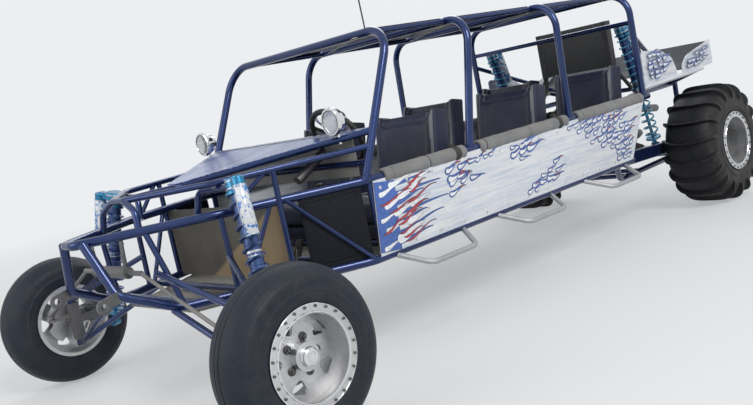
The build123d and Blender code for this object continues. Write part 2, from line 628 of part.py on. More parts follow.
def faceted(section, sides):
    """Solid ring about Y with flat sides, from radius and offset."""
    rings = []
    for radius, offset in section:
        turns = [2 * pi * side / sides for side in range(sides)]
        rings.append([Vector(radius * cos(turn), offset, radius * sin(turn)) for turn in turns])
    faces = []
    for ring, after in zip(rings, rings[1:] + rings[:1]):
        for side in range(sides):
            beyond = (side + 1) % sides
            corners = [ring[side], ring[beyond], after[beyond], after[side]]
            faces.append(Face(Wire.make_polygon(corners, close=True)))
    return Solid(Shell(faces))


def tyre(radius, width, rim_r):
    """Tyre with rounded shoulders, its bore just clear of the rim."""
    half = width / 2
    bore = rim_r / cos(pi / TYRE_SIDES) + RUNNING
    shoulder = [(bore, 30), (rim_r + 55, 0), (radius - 70, 4), (radius - 22, 34), (radius, 80)]
    section = [(r, inset - half) for r, inset in shoulder]
    section += [(r, half - inset) for r, inset in reversed(shoulder)]
    return faceted(section, TYRE_SIDES)


def wheel_rim(rim_r, width, disc, hub):
    """Rim with a lock ring, nuts and windows; hub outline of radius and offset, out to in."""
    half = width / 2
    barrel = rim_r - RIM_WALL
    section = [
        *hub,
        (barrel, disc - RIM_WALL),
        (barrel, 2 - half),
        (LOCK_RING_R, 2 - half),
        (LOCK_RING_R, 10 - half),
        (rim_r, 10 - half),
        (rim_r, half - 14),
        (LOCK_RING_R, half - 14),
        (LOCK_RING_R, half - 2),
        (LOCK_RING_R - 38, half - 2),
        (LOCK_RING_R - 38, half - 14),
        (barrel, half - 14),
        (barrel, disc + RIM_WALL),
    ]
    whole = turned(section)
    corners = [(rim_r * 0.44, 0), (rim_r * 0.78, rim_r * 0.27), (rim_r * 0.78, -rim_r * 0.27)]
    window_edge = FilletPolyline(*corners, radius=16, close=True)
    window = Rot(90, 0, 0) * extrude(make_face(window_edge), 12 * RIM_WALL, both=True)
    nut = Pos(NUT_R, disc + RIM_WALL + 6, 0) * Rot(90, 0, 0) * Cylinder(9, 14)
    for index in range(WINDOW_COUNT):
        turn = 360 * index / WINDOW_COUNT
        whole = whole - Rot(0, turn, 0) * (Pos(0, disc, 0) * window)
        whole += Rot(0, turn + 180 / WINDOW_COUNT, 0) * nut
    return whole


FRONT_DISC = 20  # of each rim's disc, outward from the middle of the tyre
REAR_DISC = -20
WINDOW_COUNT = 5
NUT_R = 74
HUB_R = 58
CAP_R = 34
bore_r = AXLE_R + RUNNING
disc_in = DISC_Y - FRONT_HUB_Y - DISC_T / 2
front_hub = [
    (HUB_R, FRONT_DISC + RIM_WALL),
    (HUB_R, 70),
    (CAP_R, 72),
    (CAP_R, 92),
    (0, 92),
    (0, 66),
    (bore_r, 66),
    (bore_r, disc_in),
    (DISC_R, disc_in),
    (DISC_R, disc_in + DISC_T),
    (HUB_R - 6, disc_in + DISC_T),
    (HUB_R - 6, FRONT_DISC - RIM_WALL),
]
front_wheel_at = Pos(FRONT_AXLE_X, FRONT_HUB_Y, FRONT_TYRE_R)
left_right("front_tyre", front_wheel_at * tyre(FRONT_TYRE_R, FRONT_TYRE_W, FRONT_RIM_R))
left_right("front_rim", front_wheel_at * wheel_rim(FRONT_RIM_R, FRONT_TYRE_W, FRONT_DISC, front_hub))

rear_wheel_at = Pos(REAR_AXLE_X, REAR_HUB_Y, REAR_AXLE_Z)
rear_half = REAR_TYRE_W / 2
paddle_r = REAR_TYRE_R + PADDLE_H
# Paddle outline over one shoulder: radius and offset
paddle_edge = [
    (REAR_TYRE_R - 105, rear_half - 8),
    (REAR_TYRE_R - 75, rear_half + 6),
    (REAR_TYRE_R - 33, rear_half + 2),
    (REAR_TYRE_R + 5, rear_half - 30),
    (paddle_r, rear_half - 78),
]
paddle_edge += [(r, -offset) for r, offset in reversed(paddle_edge)]
paddle = extrude(make_face(Polyline(*paddle_edge, close=True)), PADDLE_T / 2, both=True)
rear_tyre = tyre(REAR_TYRE_R, REAR_TYRE_W, REAR_RIM_R)
for index in range(PADDLE_COUNT):
    rear_tyre += Rot(0, 360 * index / PADDLE_COUNT + 90, 0) * paddle
left_right("rear_tyre", rear_wheel_at * rear_tyre)
SHAFT_IN = 145
rear_hub = [
    (HUB_R, REAR_DISC + RIM_WALL),
    (HUB_R, 40),
    (CAP_R, 42),
    (CAP_R, 60),
    (0, 60),
    (0, 20),
    (AXLE_R, 20),
    (AXLE_R, REAR_DISC - 60),
    (HUB_R, REAR_DISC - 60),
    (HUB_R, REAR_DISC - RIM_WALL),
]
left_right("rear_rim", rear_wheel_at * wheel_rim(REAR_RIM_R, REAR_TYRE_W, REAR_DISC, rear_hub))
left_right("halfshaft", across(AXLE_R, REAR_AXLE_X, SHAFT_IN, REAR_HUB_Y + 20, REAR_AXLE_Z))

# Rear trailing arms with a bearing for the halfshaft, and the rear shocks
ARM_Y = 575
PIVOT_AT = Vector(fx(FLOOR_REAR + 30), 655, LOWER_Z + 5)
arm_line = Vector(REAR_AXLE_X + 30, ARM_Y, REAR_AXLE_Z + 20) - PIVOT_AT
arm_plane = Plane(origin=PIVOT_AT, x_dir=(0, 1, 0), z_dir=arm_line)
boxed_arm = fillet(Box(52, 88, arm_line.length).edges().filter_by(Axis.Z), 10)
rear_arm = arm_plane * Pos(0, 0, arm_line.length / 2) * boxed_arm
rear_arm += across(30, PIVOT_AT.X, 634, 694, PIVOT_AT.Z)
rear_arm += across(66, REAR_AXLE_X, ARM_Y - 35, ARM_Y + 35, REAR_AXLE_Z)
rear_arm += rod((fx(3560), 480, REAR_LOW_Z + 10), (REAR_AXLE_X + 30, ARM_Y - 10, REAR_AXLE_Z - 48), 26)
shaft_hole = across(AXLE_R + RUNNING, REAR_AXLE_X, 100, 800, REAR_AXLE_Z)
node("rear_arms", both(rear_arm - shaft_hole), "belly_pan", *FRAME)
REAR_SHOCK = ((fx(3850), 577, 500), (fx(3612), 585, SHOCK_BAR_Z), (-1, 0.1, 0))
rear_shock = biggest(clear_of(shock(*REAR_SHOCK), "rear_arms", *FRAME))
node("rear_shocks", both(rear_shock))
node("rear_springs", both(spring(*REAR_SHOCK)))

# Steering wheel on its column at the driver's side
WHEEL_RIM_R = 165
DRIVER_Y = 370
COLUMN_TILT = 62 * pi / 180  # of the column from upright, leaning back to the driver
wheel_plane = Plane(
    origin=(fx(1065), DRIVER_Y, 1105),
    x_dir=(0, 1, 0),
    z_dir=(-sin(COLUMN_TILT), 0, cos(COLUMN_TILT)),
)
COLUMN_R = 24
COLUMN_LENGTH = 330
wheel_ring = wheel_plane * Torus(WHEEL_RIM_R, 14)
spokes = [
    wheel_plane * Rot(0, 0, turn) * Pos(WHEEL_RIM_R / 2, 0, 0) * Box(WHEEL_RIM_R, 22, 6)
    for turn in (90, 210, 330)
]
wheel_shaft = wheel_plane * Pos(0, 0, -60) * Cylinder(12, 130)
wheel_hub = wheel_plane * Cylinder(32, 16)
node("steering_wheel", fused(wheel_ring, wheel_hub, wheel_shaft, *spokes))
column = wheel_plane * Pos(0, 0, -30 - COLUMN_LENGTH / 2) * Cylinder(COLUMN_R, COLUMN_LENGTH)
column_bore = wheel_plane * Pos(0, 0, -70) * Cylinder(12 + RUNNING, 160)
node("steering_column", column - column_bore, "hood", *FRAME)
dash_x = fx(DASH_BAR + BRACE / 2 + SHEET / 2 - 1)
dash = Pos(dash_x, 0, (HOOD_REAR_Z + BELT_Z + 34) / 2) * Box(SHEET, 1240, HOOD_REAR_Z - BELT_Z)
dash_hole = wheel_plane * Pos(0, 0, -170) * Cylinder(COLUMN_R, 400)
node("dash", dash - dash_hole, "hood", *FRAME)

# Headlamps on stalks at the hood's rear corners
LAMP_AT = (fx(878), 605, 1195)
LAMP_SECTION = [(0, -52), (24, -48), (46, -32), (60, -6), (62, 20)]
LAMP_SECTION += [(69, 22), (69, 36), (60, 36), (60, 27), (0, 32)]
lamp = Pos(*LAMP_AT) * Rot(0, 0, -90) * turned(LAMP_SECTION)
stalk = rod((LAMP_AT[0], LAMP_AT[1], 1080), (LAMP_AT[0], LAMP_AT[1], 1150), 16)
node("headlamps", both(fused(lamp, stalk)), "hood", *FRAME)

# Whip antenna by the front hoop's left shoulder
ANTENNA_Y = HALF_WIDTH - 170
antenna = rod((fx(1247), ANTENNA_Y, HOOP_TOP_Z), (fx(1230), ANTENNA_Y, HOOP_TOP_Z + 900), 8)
node("antenna", antenna, *FRAME)

# Exhaust out of the tail
exhaust = tube([(fx(3900), 150, 790), (fx(4150), 200, 760), (fx(4600), 200, 700)], 60, 120)
node("exhaust", exhaust, "engine", *FRAME)

for name, part in parts.items():
    export_step(part, f"parts/{name}.step")
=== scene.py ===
import json
import random
from math import atan2, cos, exp, pi, radians, sin

import bpy
from mathutils import Matrix, Vector

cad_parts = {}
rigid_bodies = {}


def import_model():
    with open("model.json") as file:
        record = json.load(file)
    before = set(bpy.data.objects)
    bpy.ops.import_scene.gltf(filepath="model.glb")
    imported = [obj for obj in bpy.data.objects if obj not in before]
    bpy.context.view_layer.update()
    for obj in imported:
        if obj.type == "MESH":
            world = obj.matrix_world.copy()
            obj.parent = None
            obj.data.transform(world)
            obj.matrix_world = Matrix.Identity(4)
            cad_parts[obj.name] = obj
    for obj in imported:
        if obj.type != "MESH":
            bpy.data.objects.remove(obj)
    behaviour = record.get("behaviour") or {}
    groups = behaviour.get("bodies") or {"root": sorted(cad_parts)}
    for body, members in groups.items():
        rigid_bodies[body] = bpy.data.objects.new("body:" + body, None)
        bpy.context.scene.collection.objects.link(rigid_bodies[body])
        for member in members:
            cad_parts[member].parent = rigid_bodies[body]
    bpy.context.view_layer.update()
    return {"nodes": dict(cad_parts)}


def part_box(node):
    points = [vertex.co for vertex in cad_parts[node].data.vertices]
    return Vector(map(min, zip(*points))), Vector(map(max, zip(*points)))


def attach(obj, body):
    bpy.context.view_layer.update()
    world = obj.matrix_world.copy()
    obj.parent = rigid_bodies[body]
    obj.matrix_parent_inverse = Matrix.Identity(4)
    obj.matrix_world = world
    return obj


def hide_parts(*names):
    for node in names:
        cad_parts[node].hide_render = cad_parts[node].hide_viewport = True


bl_info = {
    "name": "Dune Buggy Looks",
    "version": (1, 0, 0),
    "blender": (4, 5, 0),
    "location": "3D View > Sidebar > Buggy",
    "description": "Finishes and details for a long open dune buggy",
    "category": "Object",
}

bpy.ops.object.select_all(action="SELECT")
bpy.ops.object.delete()
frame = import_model()

# Places taken from the part, in metres: the axles, the wheels' middles and the tubes that carry details
FRONT_AXLE = 2.1585
WHEELBASE = 4.18
REAR_AXLE = FRONT_AXLE - WHEELBASE
SIDES = (("left", 1), ("right", -1))
FRONT_WHEEL = (FRONT_AXLE, 1.132, 0.365)
REAR_WHEEL = (REAR_AXLE, 0.838, 0.43)
RAIL_Y = 0.717
BELT_Z = 0.885
LOWER_Z = 0.495
TUBE_R = 0.0225
# Where shapes are turned before they are moved into place
ORIGIN = (0, 0, 0)
# Vertices this near to each other are made one
MERGE = 0.00002


def fx(distance):
    """X of a point this many metres behind the front axle."""
    return FRONT_AXLE - distance


# Modelling helpers


def deselect():
    if bpy.context.mode != "OBJECT":
        bpy.ops.object.mode_set(mode="OBJECT")
    bpy.ops.object.select_all(action="DESELECT")


def pick(*objects):
    """Only these are selected, and the first is active."""
    deselect()
    for obj in objects:
        obj.select_set(True)
    bpy.context.view_layer.objects.active = objects[0]


def smooth(obj, angle):
    """Puts the place into the mesh and smooths the shading by angle."""
    pick(obj)
    bpy.ops.object.transform_apply(location=True, rotation=True, scale=True)
    bpy.ops.object.shade_smooth_by_angle(angle=radians(angle))
    return obj


def edit(obj):
    """Edit mode with everything selected."""
    pick(obj)
    bpy.ops.object.mode_set(mode="EDIT")
    bpy.ops.mesh.select_all(action="SELECT")


def leave():
    """Leaves edit mode."""
    bpy.ops.object.mode_set(mode="OBJECT")


def turn_outward():
    """Turns all faces outwards and leaves edit mode."""
    bpy.ops.mesh.select_all(action="SELECT")
    bpy.ops.mesh.normals_make_consistent(inside=False)
    leave()


def flip(obj):
    """Turns every face the other way round."""
    edit(obj)
    bpy.ops.mesh.flip_normals()
    leave()


def modified(obj, kind, **settings):
    """Gives the object a modifier with these settings and applies it."""
    modifier = obj.modifiers.new(kind, kind)
    for key, value in settings.items():
        setattr(modifier, key, value)
    pick(obj)
    bpy.ops.object.modifier_apply(modifier=modifier.name)


def chain(points):
    """Vertices joined one after another, by extruding the first, left in edit mode."""
    deselect()
    bpy.ops.mesh.primitive_plane_add(size=0.01)
    edit(bpy.context.object)
    bpy.ops.mesh.merge(type="CENTER")
    bpy.ops.transform.translate(value=points[0])
    for before, after in zip(points, points[1:]):
        step = Vector(after) - Vector(before)
        bpy.ops.mesh.extrude_region_move(TRANSFORM_OT_translate={"value": step})
    return bpy.context.object


def lathe(points, centre, axis, steps):
    """Points spun all the way round an axis, closed where they meet."""
    obj = chain(points)
    bpy.ops.mesh.select_all(action="SELECT")
    bpy.ops.mesh.spin(steps=steps, angle=2 * pi, center=centre, axis=axis)
    bpy.ops.mesh.select_all(action="SELECT")
    bpy.ops.mesh.remove_doubles(threshold=MERGE)
    turn_outward()
    return obj


def wheel_lathe(section, centre, steps):
    """Section of radius and offset spun about a wheel's axle."""
    points = [(centre[0] + r, centre[1] + offset, centre[2]) for r, offset in section]
    return lathe(points, centre, (0, 1, 0), steps)


def x_lathe(section, centre, steps):
    """Section of radius and distance along X, spun about the line along X through the centre."""
    points = [(centre[0] + along, centre[1] + r, centre[2]) for r, along in section]
    return lathe(points, centre, (1, 0, 0), steps)


def z_lathe(section, steps, place=None):
    """Section of radius and height spun about Z at the origin, then moved by the matrix."""
    made = lathe([(r, 0, height) for r, height in section], ORIGIN, (0, 0, 1), steps)
    if place:
        made.data.transform(place)
    return made


def copy_of(obj, matrix):
    """Copy with its own mesh, moved by the matrix."""
    twin = obj.copy()
    twin.data = obj.data.copy()
    bpy.context.collection.objects.link(twin)
    twin.matrix_world = matrix @ obj.matrix_world
    return twin


def join(objects):
    """The first object with the others in it, and its place in its mesh."""
    pick(*objects)
    if len(objects) > 1:
        bpy.ops.object.join()
    bpy.ops.object.transform_apply(location=True, rotation=True, scale=True)
    return bpy.context.object


def about(centre, angle, axis):
    """Turn by the angle about an axis through the centre."""
    place = Matrix.Translation(centre)
    return place @ Matrix.Rotation(angle, 4, axis) @ place.inverted()


def ring_of(obj, count, centre, axis="Y", first=0.0):
    """One object made of copies turned evenly about a centre."""
    twins = [copy_of(obj, about(centre, first + 2 * pi * i / count, axis)) for i in range(count)]
    bpy.data.objects.remove(obj)
    return join(twins)


def to_other_side(obj, name):
    """Mirror image across the middle of the buggy."""
    twin = copy_of(obj, Matrix.Identity(4))
    twin.data.transform(Matrix.Scale(-1, 4, (0, 1, 0)))
    flip(twin)
    twin.name = name
    return twin


def empty_curve():
    """Curve object at the origin without a line in it yet."""
    deselect()
    bpy.ops.curve.primitive_nurbs_path_add()
    obj = bpy.context.object
    obj.location = ORIGIN
    obj.data.splines.clear()
    return obj


def as_mesh(obj):
    pick(obj)
    bpy.ops.object.convert(target="MESH")
    return bpy.context.object


def pipe(points, radius, smooth_line=True, resolution=4, cyclic=False):
    """Round line through the points, as a mesh."""
    obj = empty_curve()
    curve = obj.data
    spline = curve.splines.new("NURBS" if smooth_line else "POLY")
    spline.points.add(len(points) - 1)
    for point, place in zip(spline.points, points):
        point.co = (*place, 1)
    spline.use_cyclic_u = cyclic
    if smooth_line:
        spline.order_u = 3
        spline.use_endpoint_u = not cyclic
    curve.bevel_depth = radius
    curve.bevel_resolution = resolution
    curve.resolution_u = 8
    curve.use_fill_caps = True
    return smooth(as_mesh(obj), 50)


def block(size, place, bevel=0.003, turn=ORIGIN):
    """Box with its edges rounded."""
    deselect()
    bpy.ops.mesh.primitive_cube_add(size=1, location=place, rotation=turn)
    obj = bpy.context.object
    obj.scale = size
    bpy.ops.object.transform_apply(location=False, rotation=False, scale=True)
    edit(obj)
    bpy.ops.mesh.bevel(offset=bevel, segments=2, profile=0.6, affect="EDGES")
    leave()
    return smooth(obj, 35)


def hex_bolt(radius, height, place, turn=ORIGIN):
    """Hexagon head with a chamfer, standing out along its own Z."""
    deselect()
    bpy.ops.mesh.primitive_cylinder_add(
        vertices=6, radius=radius, depth=height, location=place, rotation=turn
    )
    obj = bpy.context.object
    edit(obj)
    bpy.ops.mesh.bevel(offset=radius * 0.12, segments=1, affect="EDGES")
    leave()
    bpy.ops.object.transform_apply(location=True, rotation=True, scale=True)
    return obj


def finished(pieces, name, finish, angle, body="chassis"):
    """The pieces as one, smoothed by angle, with its finish, carried by its body."""
    whole = smooth(join(pieces), angle)
    whole.name = name
    whole.data.materials.clear()
    whole.data.materials.append(FINISHES[finish])
    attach(whole, body)
    return whole


def paired(pieces, name, finish, angle, body="chassis", stands_for=None):
    """The pieces as one on the left, and its mirror image on the right."""
    left = finished(pieces, f"{name}_left", finish, angle, body.format("left"))
    right = to_other_side(left, f"{name}_right")
    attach(right, body.format("right"))
    if stands_for:
        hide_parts(stands_for.format("left"))
        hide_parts(stands_for.format("right"))
    return left, right


# Sizes and colours that a user would change


def colour(name, description, default):
    """Property that holds a colour."""
    return bpy.props.FloatVectorProperty(
        name=name, description=description, subtype="COLOR", size=3, min=0, max=1, default=default
    )


def length(name, description, default):
    """Property that holds a length in metres."""
    return bpy.props.FloatProperty(name=name, description=description, unit="LENGTH", min=0, default=default)


class BuggyPaint(bpy.types.PropertyGroup):
    """Colours of the paint, cloth and metal."""

    frame: colour("Frame", "Metallic blue of the tubes", (0.007, 0.026, 0.115))
    hood: colour("Hood", "Blue of the hood sheet", (0.030, 0.085, 0.33))
    roof: colour("Roof", "Navy of the roof sheets", (0.008, 0.014, 0.05))
    panel: colour("Panel", "White of the side panels and fins", (0.78, 0.80, 0.83))
    flame_blue: colour("Flame blue", "Blue of the painted flames", (0.035, 0.11, 0.40))
    flame_red: colour("Flame red", "Red of the licks at the panel's front", (0.42, 0.03, 0.05))
    outline: colour("Flame outline", "Dark line round each flame", (0.012, 0.014, 0.07))
    vinyl: colour("Vinyl", "Navy of the seats", (0.006, 0.010, 0.038))
    strip: colour("Strip", "Silver grey of the seats' side strips", (0.17, 0.18, 0.20))
    foam: colour("Foam", "Grey of the rail sleeves", (0.19, 0.195, 0.20))
    shock: colour("Shock", "Turquoise of the shocks", (0.012, 0.19, 0.36))
    sand: colour("Sand", "Sand that lies on low and upward faces", (0.42, 0.36, 0.27))


class BuggyWheels(bpy.types.PropertyGroup):
    """How finely the wheels are made."""

    steps: bpy.props.IntProperty(name="Steps", description="Steps round each tyre", min=32, default=112)
    ring_bolts: bpy.props.IntProperty(
        name="Ring bolts", description="Bolts in the bead ring", min=8, default=24
    )
    paddle: length("Paddle", "Thickness of a paddle at its root", 0.020)


class BuggySeats(bpy.types.PropertyGroup):
    """Padding of the seats."""

    voxel: length("Voxel", "Size of the remesh before the padding swells", 0.013)
    pressure: bpy.props.FloatProperty(
        name="Pressure", description="Pressure that swells the pads", default=4.0
    )
    channel: length("Channel", "Depth of the sewn channels", 0.007)


class BuggyFlames(bpy.types.PropertyGroup):
    """Layout of the painted flames."""

    seed: bpy.props.IntProperty(name="Seed", description="Start of the layout", default=11)
    outline: length("Outline", "Width of the dark line round a flame", 0.0016)
    proud: length("Paint film", "Distance between two layers of paint", 0.0005)


# Shared effects, as node groups


def add(tree, kind, **settings):
    """New node of this kind."""
    node = tree.nodes.new(kind)
    for key, value in settings.items():
        setattr(node, key, value)
    return node


def feed(tree, socket, value):
    """Links a socket to it, or sets its value."""
    if isinstance(value, bpy.types.NodeSocket):
        tree.links.new(value, socket)
    else:
        socket.default_value = value


def maths(tree, operation, first, second=0.0, clamp=False):
    """Result of a maths node."""
    node = add(tree, "ShaderNodeMath", operation=operation, use_clamp=clamp)
    feed(tree, node.inputs[0], first)
    feed(tree, node.inputs[1], second)
    return node.outputs[0]


def remap(tree, value, low, high, to_low=0.0, to_high=1.0):
    """The value moved from one range to another, and held inside it."""
    node = add(tree, "ShaderNodeMapRange")
    for socket, given in zip(node.inputs, (value, low, high, to_low, to_high)):
        feed(tree, socket, given)
    return node.outputs[0]


def mixed(tree, mask, first, second):
    """Colour that goes from the first to the second as the mask goes from 0 to 1."""
    node = add(tree, "ShaderNodeMix", data_type="RGBA")
    feed(tree, node.inputs[0], mask)
    # Sockets 6 and 7 are the colours A and B, and output 2 is their mix
    for socket, given in ((node.inputs[6], first), (node.inputs[7], second)):
        feed(tree, socket, given if isinstance(given, bpy.types.NodeSocket) else (*given, 1))
    return node.outputs[2]


def noise(tree, vector, scale, detail=4.0, roughness=0.55):
    """Soft random number, about 0.5."""
    node = add(tree, "ShaderNodeTexNoise")
    feed(tree, node.inputs["Vector"], vector)
    for key, given in (("Scale", scale), ("Detail", detail), ("Roughness", roughness)):
        feed(tree, node.inputs[key], given)
    return node.outputs[0]


def times(tree, first, second, clamp=False):
    """Product of the two."""
    return maths(tree, "MULTIPLY", first, second, clamp)


def stretched(tree, vector, scale, turn=ORIGIN):
    """The vector turned and scaled along each axis."""
    node = add(tree, "ShaderNodeMapping")
    feed(tree, node.inputs["Vector"], vector)
    node.inputs["Rotation"].default_value = turn
    node.inputs["Scale"].default_value = scale
    return node.outputs[0]


def pattern(tree, kind, vector, scale, output, **settings):
    """One output of a texture node at this scale."""
    node = add(tree, kind, **settings)
    feed(tree, node.inputs["Vector"], vector)
    feed(tree, node.inputs["Scale"], scale)
    return node.outputs[output]


def own_place(tree, output="Object"):
    """Place or normal in the piece's own coordinates."""
    return add(tree, "ShaderNodeTexCoord").outputs[output]


def split(tree, vector):
    """X, Y and Z of a vector."""
    node = add(tree, "ShaderNodeSeparateXYZ")
    feed(tree, node.inputs[0], vector)
    return node.outputs


def begin_group(name, inputs, output):
    """Empty effect group with number inputs and one number output."""
    tree = bpy.data.node_groups.new(name, "ShaderNodeTree")
    for key, default in inputs.items():
        socket = tree.interface.new_socket(key, in_out="INPUT", socket_type="NodeSocketFloat")
        socket.default_value = default
    tree.interface.new_socket(output, in_out="OUTPUT", socket_type="NodeSocketFloat")
    given = tree.nodes.new("NodeGroupInput")
    out = tree.nodes.new("NodeGroupOutput")
    return tree, given.outputs, out.inputs[0], own_place(tree)


def build_dust():
    """Sand on faces that look up and near the ground, in patches."""
    inputs = {"Amount": 0.5, "Low": 0.2, "High": 1.0, "Scale": 6.0}
    tree, given, out, place = begin_group("Settled Sand", inputs, "Mask")
    normal = add(tree, "ShaderNodeNewGeometry").outputs["Normal"]
    upward = remap(tree, split(tree, normal)["Z"], -0.4, 1.0, 0.25, 1.0)
    height = remap(tree, split(tree, place)["Z"], given["Low"], given["High"], 1.0, 0.25)
    patches = remap(tree, noise(tree, place, given["Scale"], 6.0, 0.65), 0.35, 0.75)
    mask = times(tree, times(tree, upward, height), patches)
    feed(tree, out, times(tree, mask, given["Amount"], clamp=True))


def build_wear():
    """Edges where the finish has rubbed off."""
    inputs = {"Amount": 0.5, "Radius": 0.003, "Scale": 40.0}
    tree, given, out, place = begin_group("Rubbed Edges", inputs, "Mask")
    bevel = add(tree, "ShaderNodeBevel", samples=4)
    feed(tree, bevel.inputs["Radius"], given["Radius"])
    turn = add(tree, "ShaderNodeVectorMath", operation="DOT_PRODUCT")
    feed(tree, turn.inputs[0], bevel.outputs[0])
    feed(tree, turn.inputs[1], add(tree, "ShaderNodeNewGeometry").outputs["Normal"])
    edge = remap(tree, turn.outputs["Value"], 0.995, 0.86)
    patches = remap(tree, noise(tree, place, given["Scale"], 5.0, 0.6), 0.42, 0.62)
    feed(tree, out, times(tree, times(tree, edge, patches), given["Amount"], clamp=True))


def build_mottle():
    """Slow and fine variation together, about 0.5."""
    tree, given, out, place = begin_group("Mottle", {"Slow": 3.0, "Fine": 60.0}, "Value")
    slow = noise(tree, place, given["Slow"], 3.0)
    fine = noise(tree, place, given["Fine"], 2.0)
    feed(tree, out, maths(tree, "ADD", times(tree, slow, 0.65), times(tree, fine, 0.35)))


def build_peel():
    """Soft ripple of sprayed paint."""
    tree, given, out, place = begin_group("Sprayed Ripple", {"Scale": 260.0}, "Height")
    feed(tree, out, noise(tree, place, given["Scale"], 1.0, 0.4))


def build_scratches():
    """Fine scratches in three directions."""
    tree, given, out, place = begin_group("Fine Scratches", {"Scale": 30.0}, "Height")
    lines = []
    for turn, scale in ((0.3, (1, 24, 24)), (1.4, (24, 1, 24)), (2.2, (24, 24, 1.5))):
        along = stretched(tree, place, scale, (turn, turn * 0.7, turn))
        lines.append(remap(tree, noise(tree, along, given["Scale"], 2.0), 0.60, 0.72))
    feed(tree, out, maths(tree, "MAXIMUM", maths(tree, "MAXIMUM", lines[0], lines[1]), lines[2]))


def build_skin():
    """Pebbled grain of vinyl."""
    tree, given, out, place = begin_group("Vinyl Grain", {"Scale": 420.0}, "Height")
    cells = pattern(
        tree, "ShaderNodeTexVoronoi", place, given["Scale"], "Distance", feature="SMOOTH_F1"
    )
    feed(tree, out, remap(tree, cells, 0.0, 0.8, 1.0, 0.0))


def build_cells():
    """Cells and soft lumps of foam rubber."""
    tree, given, out, place = begin_group("Foam Cells", {"Scale": 700.0}, "Height")
    cells = pattern(tree, "ShaderNodeTexVoronoi", place, given["Scale"], "Distance", feature="F1")
    feed(tree, out, maths(tree, "ADD", times(tree, cells, 0.35), noise(tree, place, 22.0, 3.0)))


def build_fins():
    """Thin upright fins between flat tubes."""
    tree, given, out, place = begin_group("Radiator Fins", {"Scale": 90.0}, "Height")
    fins = pattern(tree, "ShaderNodeTexWave", place, given["Scale"], 0, bands_direction="Y")
    tubes = pattern(tree, "ShaderNodeTexWave", place, 22.0, 0, bands_direction="Z")
    feed(tree, out, times(tree, fins, tubes))


def effect(tree, name, **inputs):
    """Places a shared effect in a material and gives its output."""
    node = add(tree, "ShaderNodeGroup", node_tree=bpy.data.node_groups[name])
    for key, given in inputs.items():
        feed(tree, node.inputs[key], given)
    return node.outputs[0]


# Finishes


def new_finish(name, **sockets):
    """Material, its nodes and its shader with these socket values."""
    material = bpy.data.materials.new(name)
    material.use_nodes = True
    shader = material.node_tree.nodes["Principled BSDF"]
    for key, given in sockets.items():
        shader.inputs[key.replace("_", " ")].default_value = given
    return material, material.node_tree, shader


def shade(base, factor):
    """Lighter or darker colour."""
    return tuple(channel * factor for channel in base)


def between(tree, mottle, low=0.0, high=1.0):
    """Number that wanders from low to high with the mottle."""
    return remap(tree, mottle, 0.3, 0.7, low, high)


def varied(tree, mottle, base, low, high):
    """Colour that wanders between two shades of the base."""
    return mixed(tree, between(tree, mottle), shade(base, low), shade(base, high))


def dressed(finish, tone, dusty, rough, height, depth, sand=None):
    """Colour under its sand, roughness and relief given to the shader; gives the material."""
    material, tree, shader = finish
    sand = sand or tuple(bpy.context.scene.buggy_paint.sand)
    feed(tree, shader.inputs["Base Color"], mixed(tree, dusty, tone, sand))
    feed(tree, shader.inputs["Roughness"], rough)
    bump = add(tree, "ShaderNodeBump")
    bump.inputs["Strength"].default_value = 1.0
    bump.inputs["Distance"].default_value = depth
    feed(tree, bump.inputs["Height"], height)
    feed(tree, shader.inputs["Normal"], bump.outputs[0])
    return material


def hard_finish(name, base, rough, metal, texture, depth, sand, worn=None, coat=0.0, spread=0.18):
    """Painted or metal finish with variation, sand, rubbed edges and a fine relief."""
    finish = new_finish(name, Coat_Weight=coat, Coat_Roughness=0.08)
    _, tree, shader = finish
    mottle = effect(tree, "Mottle")
    tone = varied(tree, mottle, base, 1 - spread, 1 + spread)
    dusty = effect(tree, "Settled Sand", Amount=sand, High=1.1)
    gloss = between(tree, mottle, max(rough - 0.07, 0.04), rough + 0.09)
    if worn:
        rubbed = effect(tree, "Rubbed Edges", Amount=0.8)
        tone = mixed(tree, rubbed, tone, worn)
        metal = maths(tree, "MAXIMUM", rubbed, metal)
    gloss = maths(tree, "ADD", gloss, times(tree, dusty, 0.5), clamp=True)
    feed(tree, shader.inputs["Metallic"], maths(tree, "SUBTRACT", metal, dusty, clamp=True))
    return dressed(finish, tone, dusty, gloss, effect(tree, texture), depth)


def panel_finish():
    """Gloss white with cool grey streaks, and road film towards the lower edge."""
    finish = new_finish("panel", Coat_Weight=0.6, Coat_Roughness=0.06)
    tree = finish[1]
    place = own_place(tree)
    along = noise(tree, stretched(tree, place, (1.6, 9.0, 26.0)), 2.2, 5.0, 0.6)
    across = noise(tree, stretched(tree, place, (7.0, 9.0, 1.0)), 3.0, 3.0, 0.5)
    white = tuple(bpy.context.scene.buggy_paint.panel)
    tone = mixed(tree, remap(tree, along, 0.42, 0.68, 0.0, 0.7), white, (0.42, 0.52, 0.68))
    tone = mixed(tree, remap(tree, across, 0.55, 0.8, 0.0, 0.25), tone, (0.56, 0.57, 0.60))
    dusty = effect(tree, "Settled Sand", Amount=0.55, Low=0.5, High=0.95, Scale=5.0)
    rough = remap(tree, dusty, 0.0, 1.0, 0.24, 0.7)
    return dressed(finish, tone, dusty, rough, effect(tree, "Sprayed Ripple"), 0.0003)


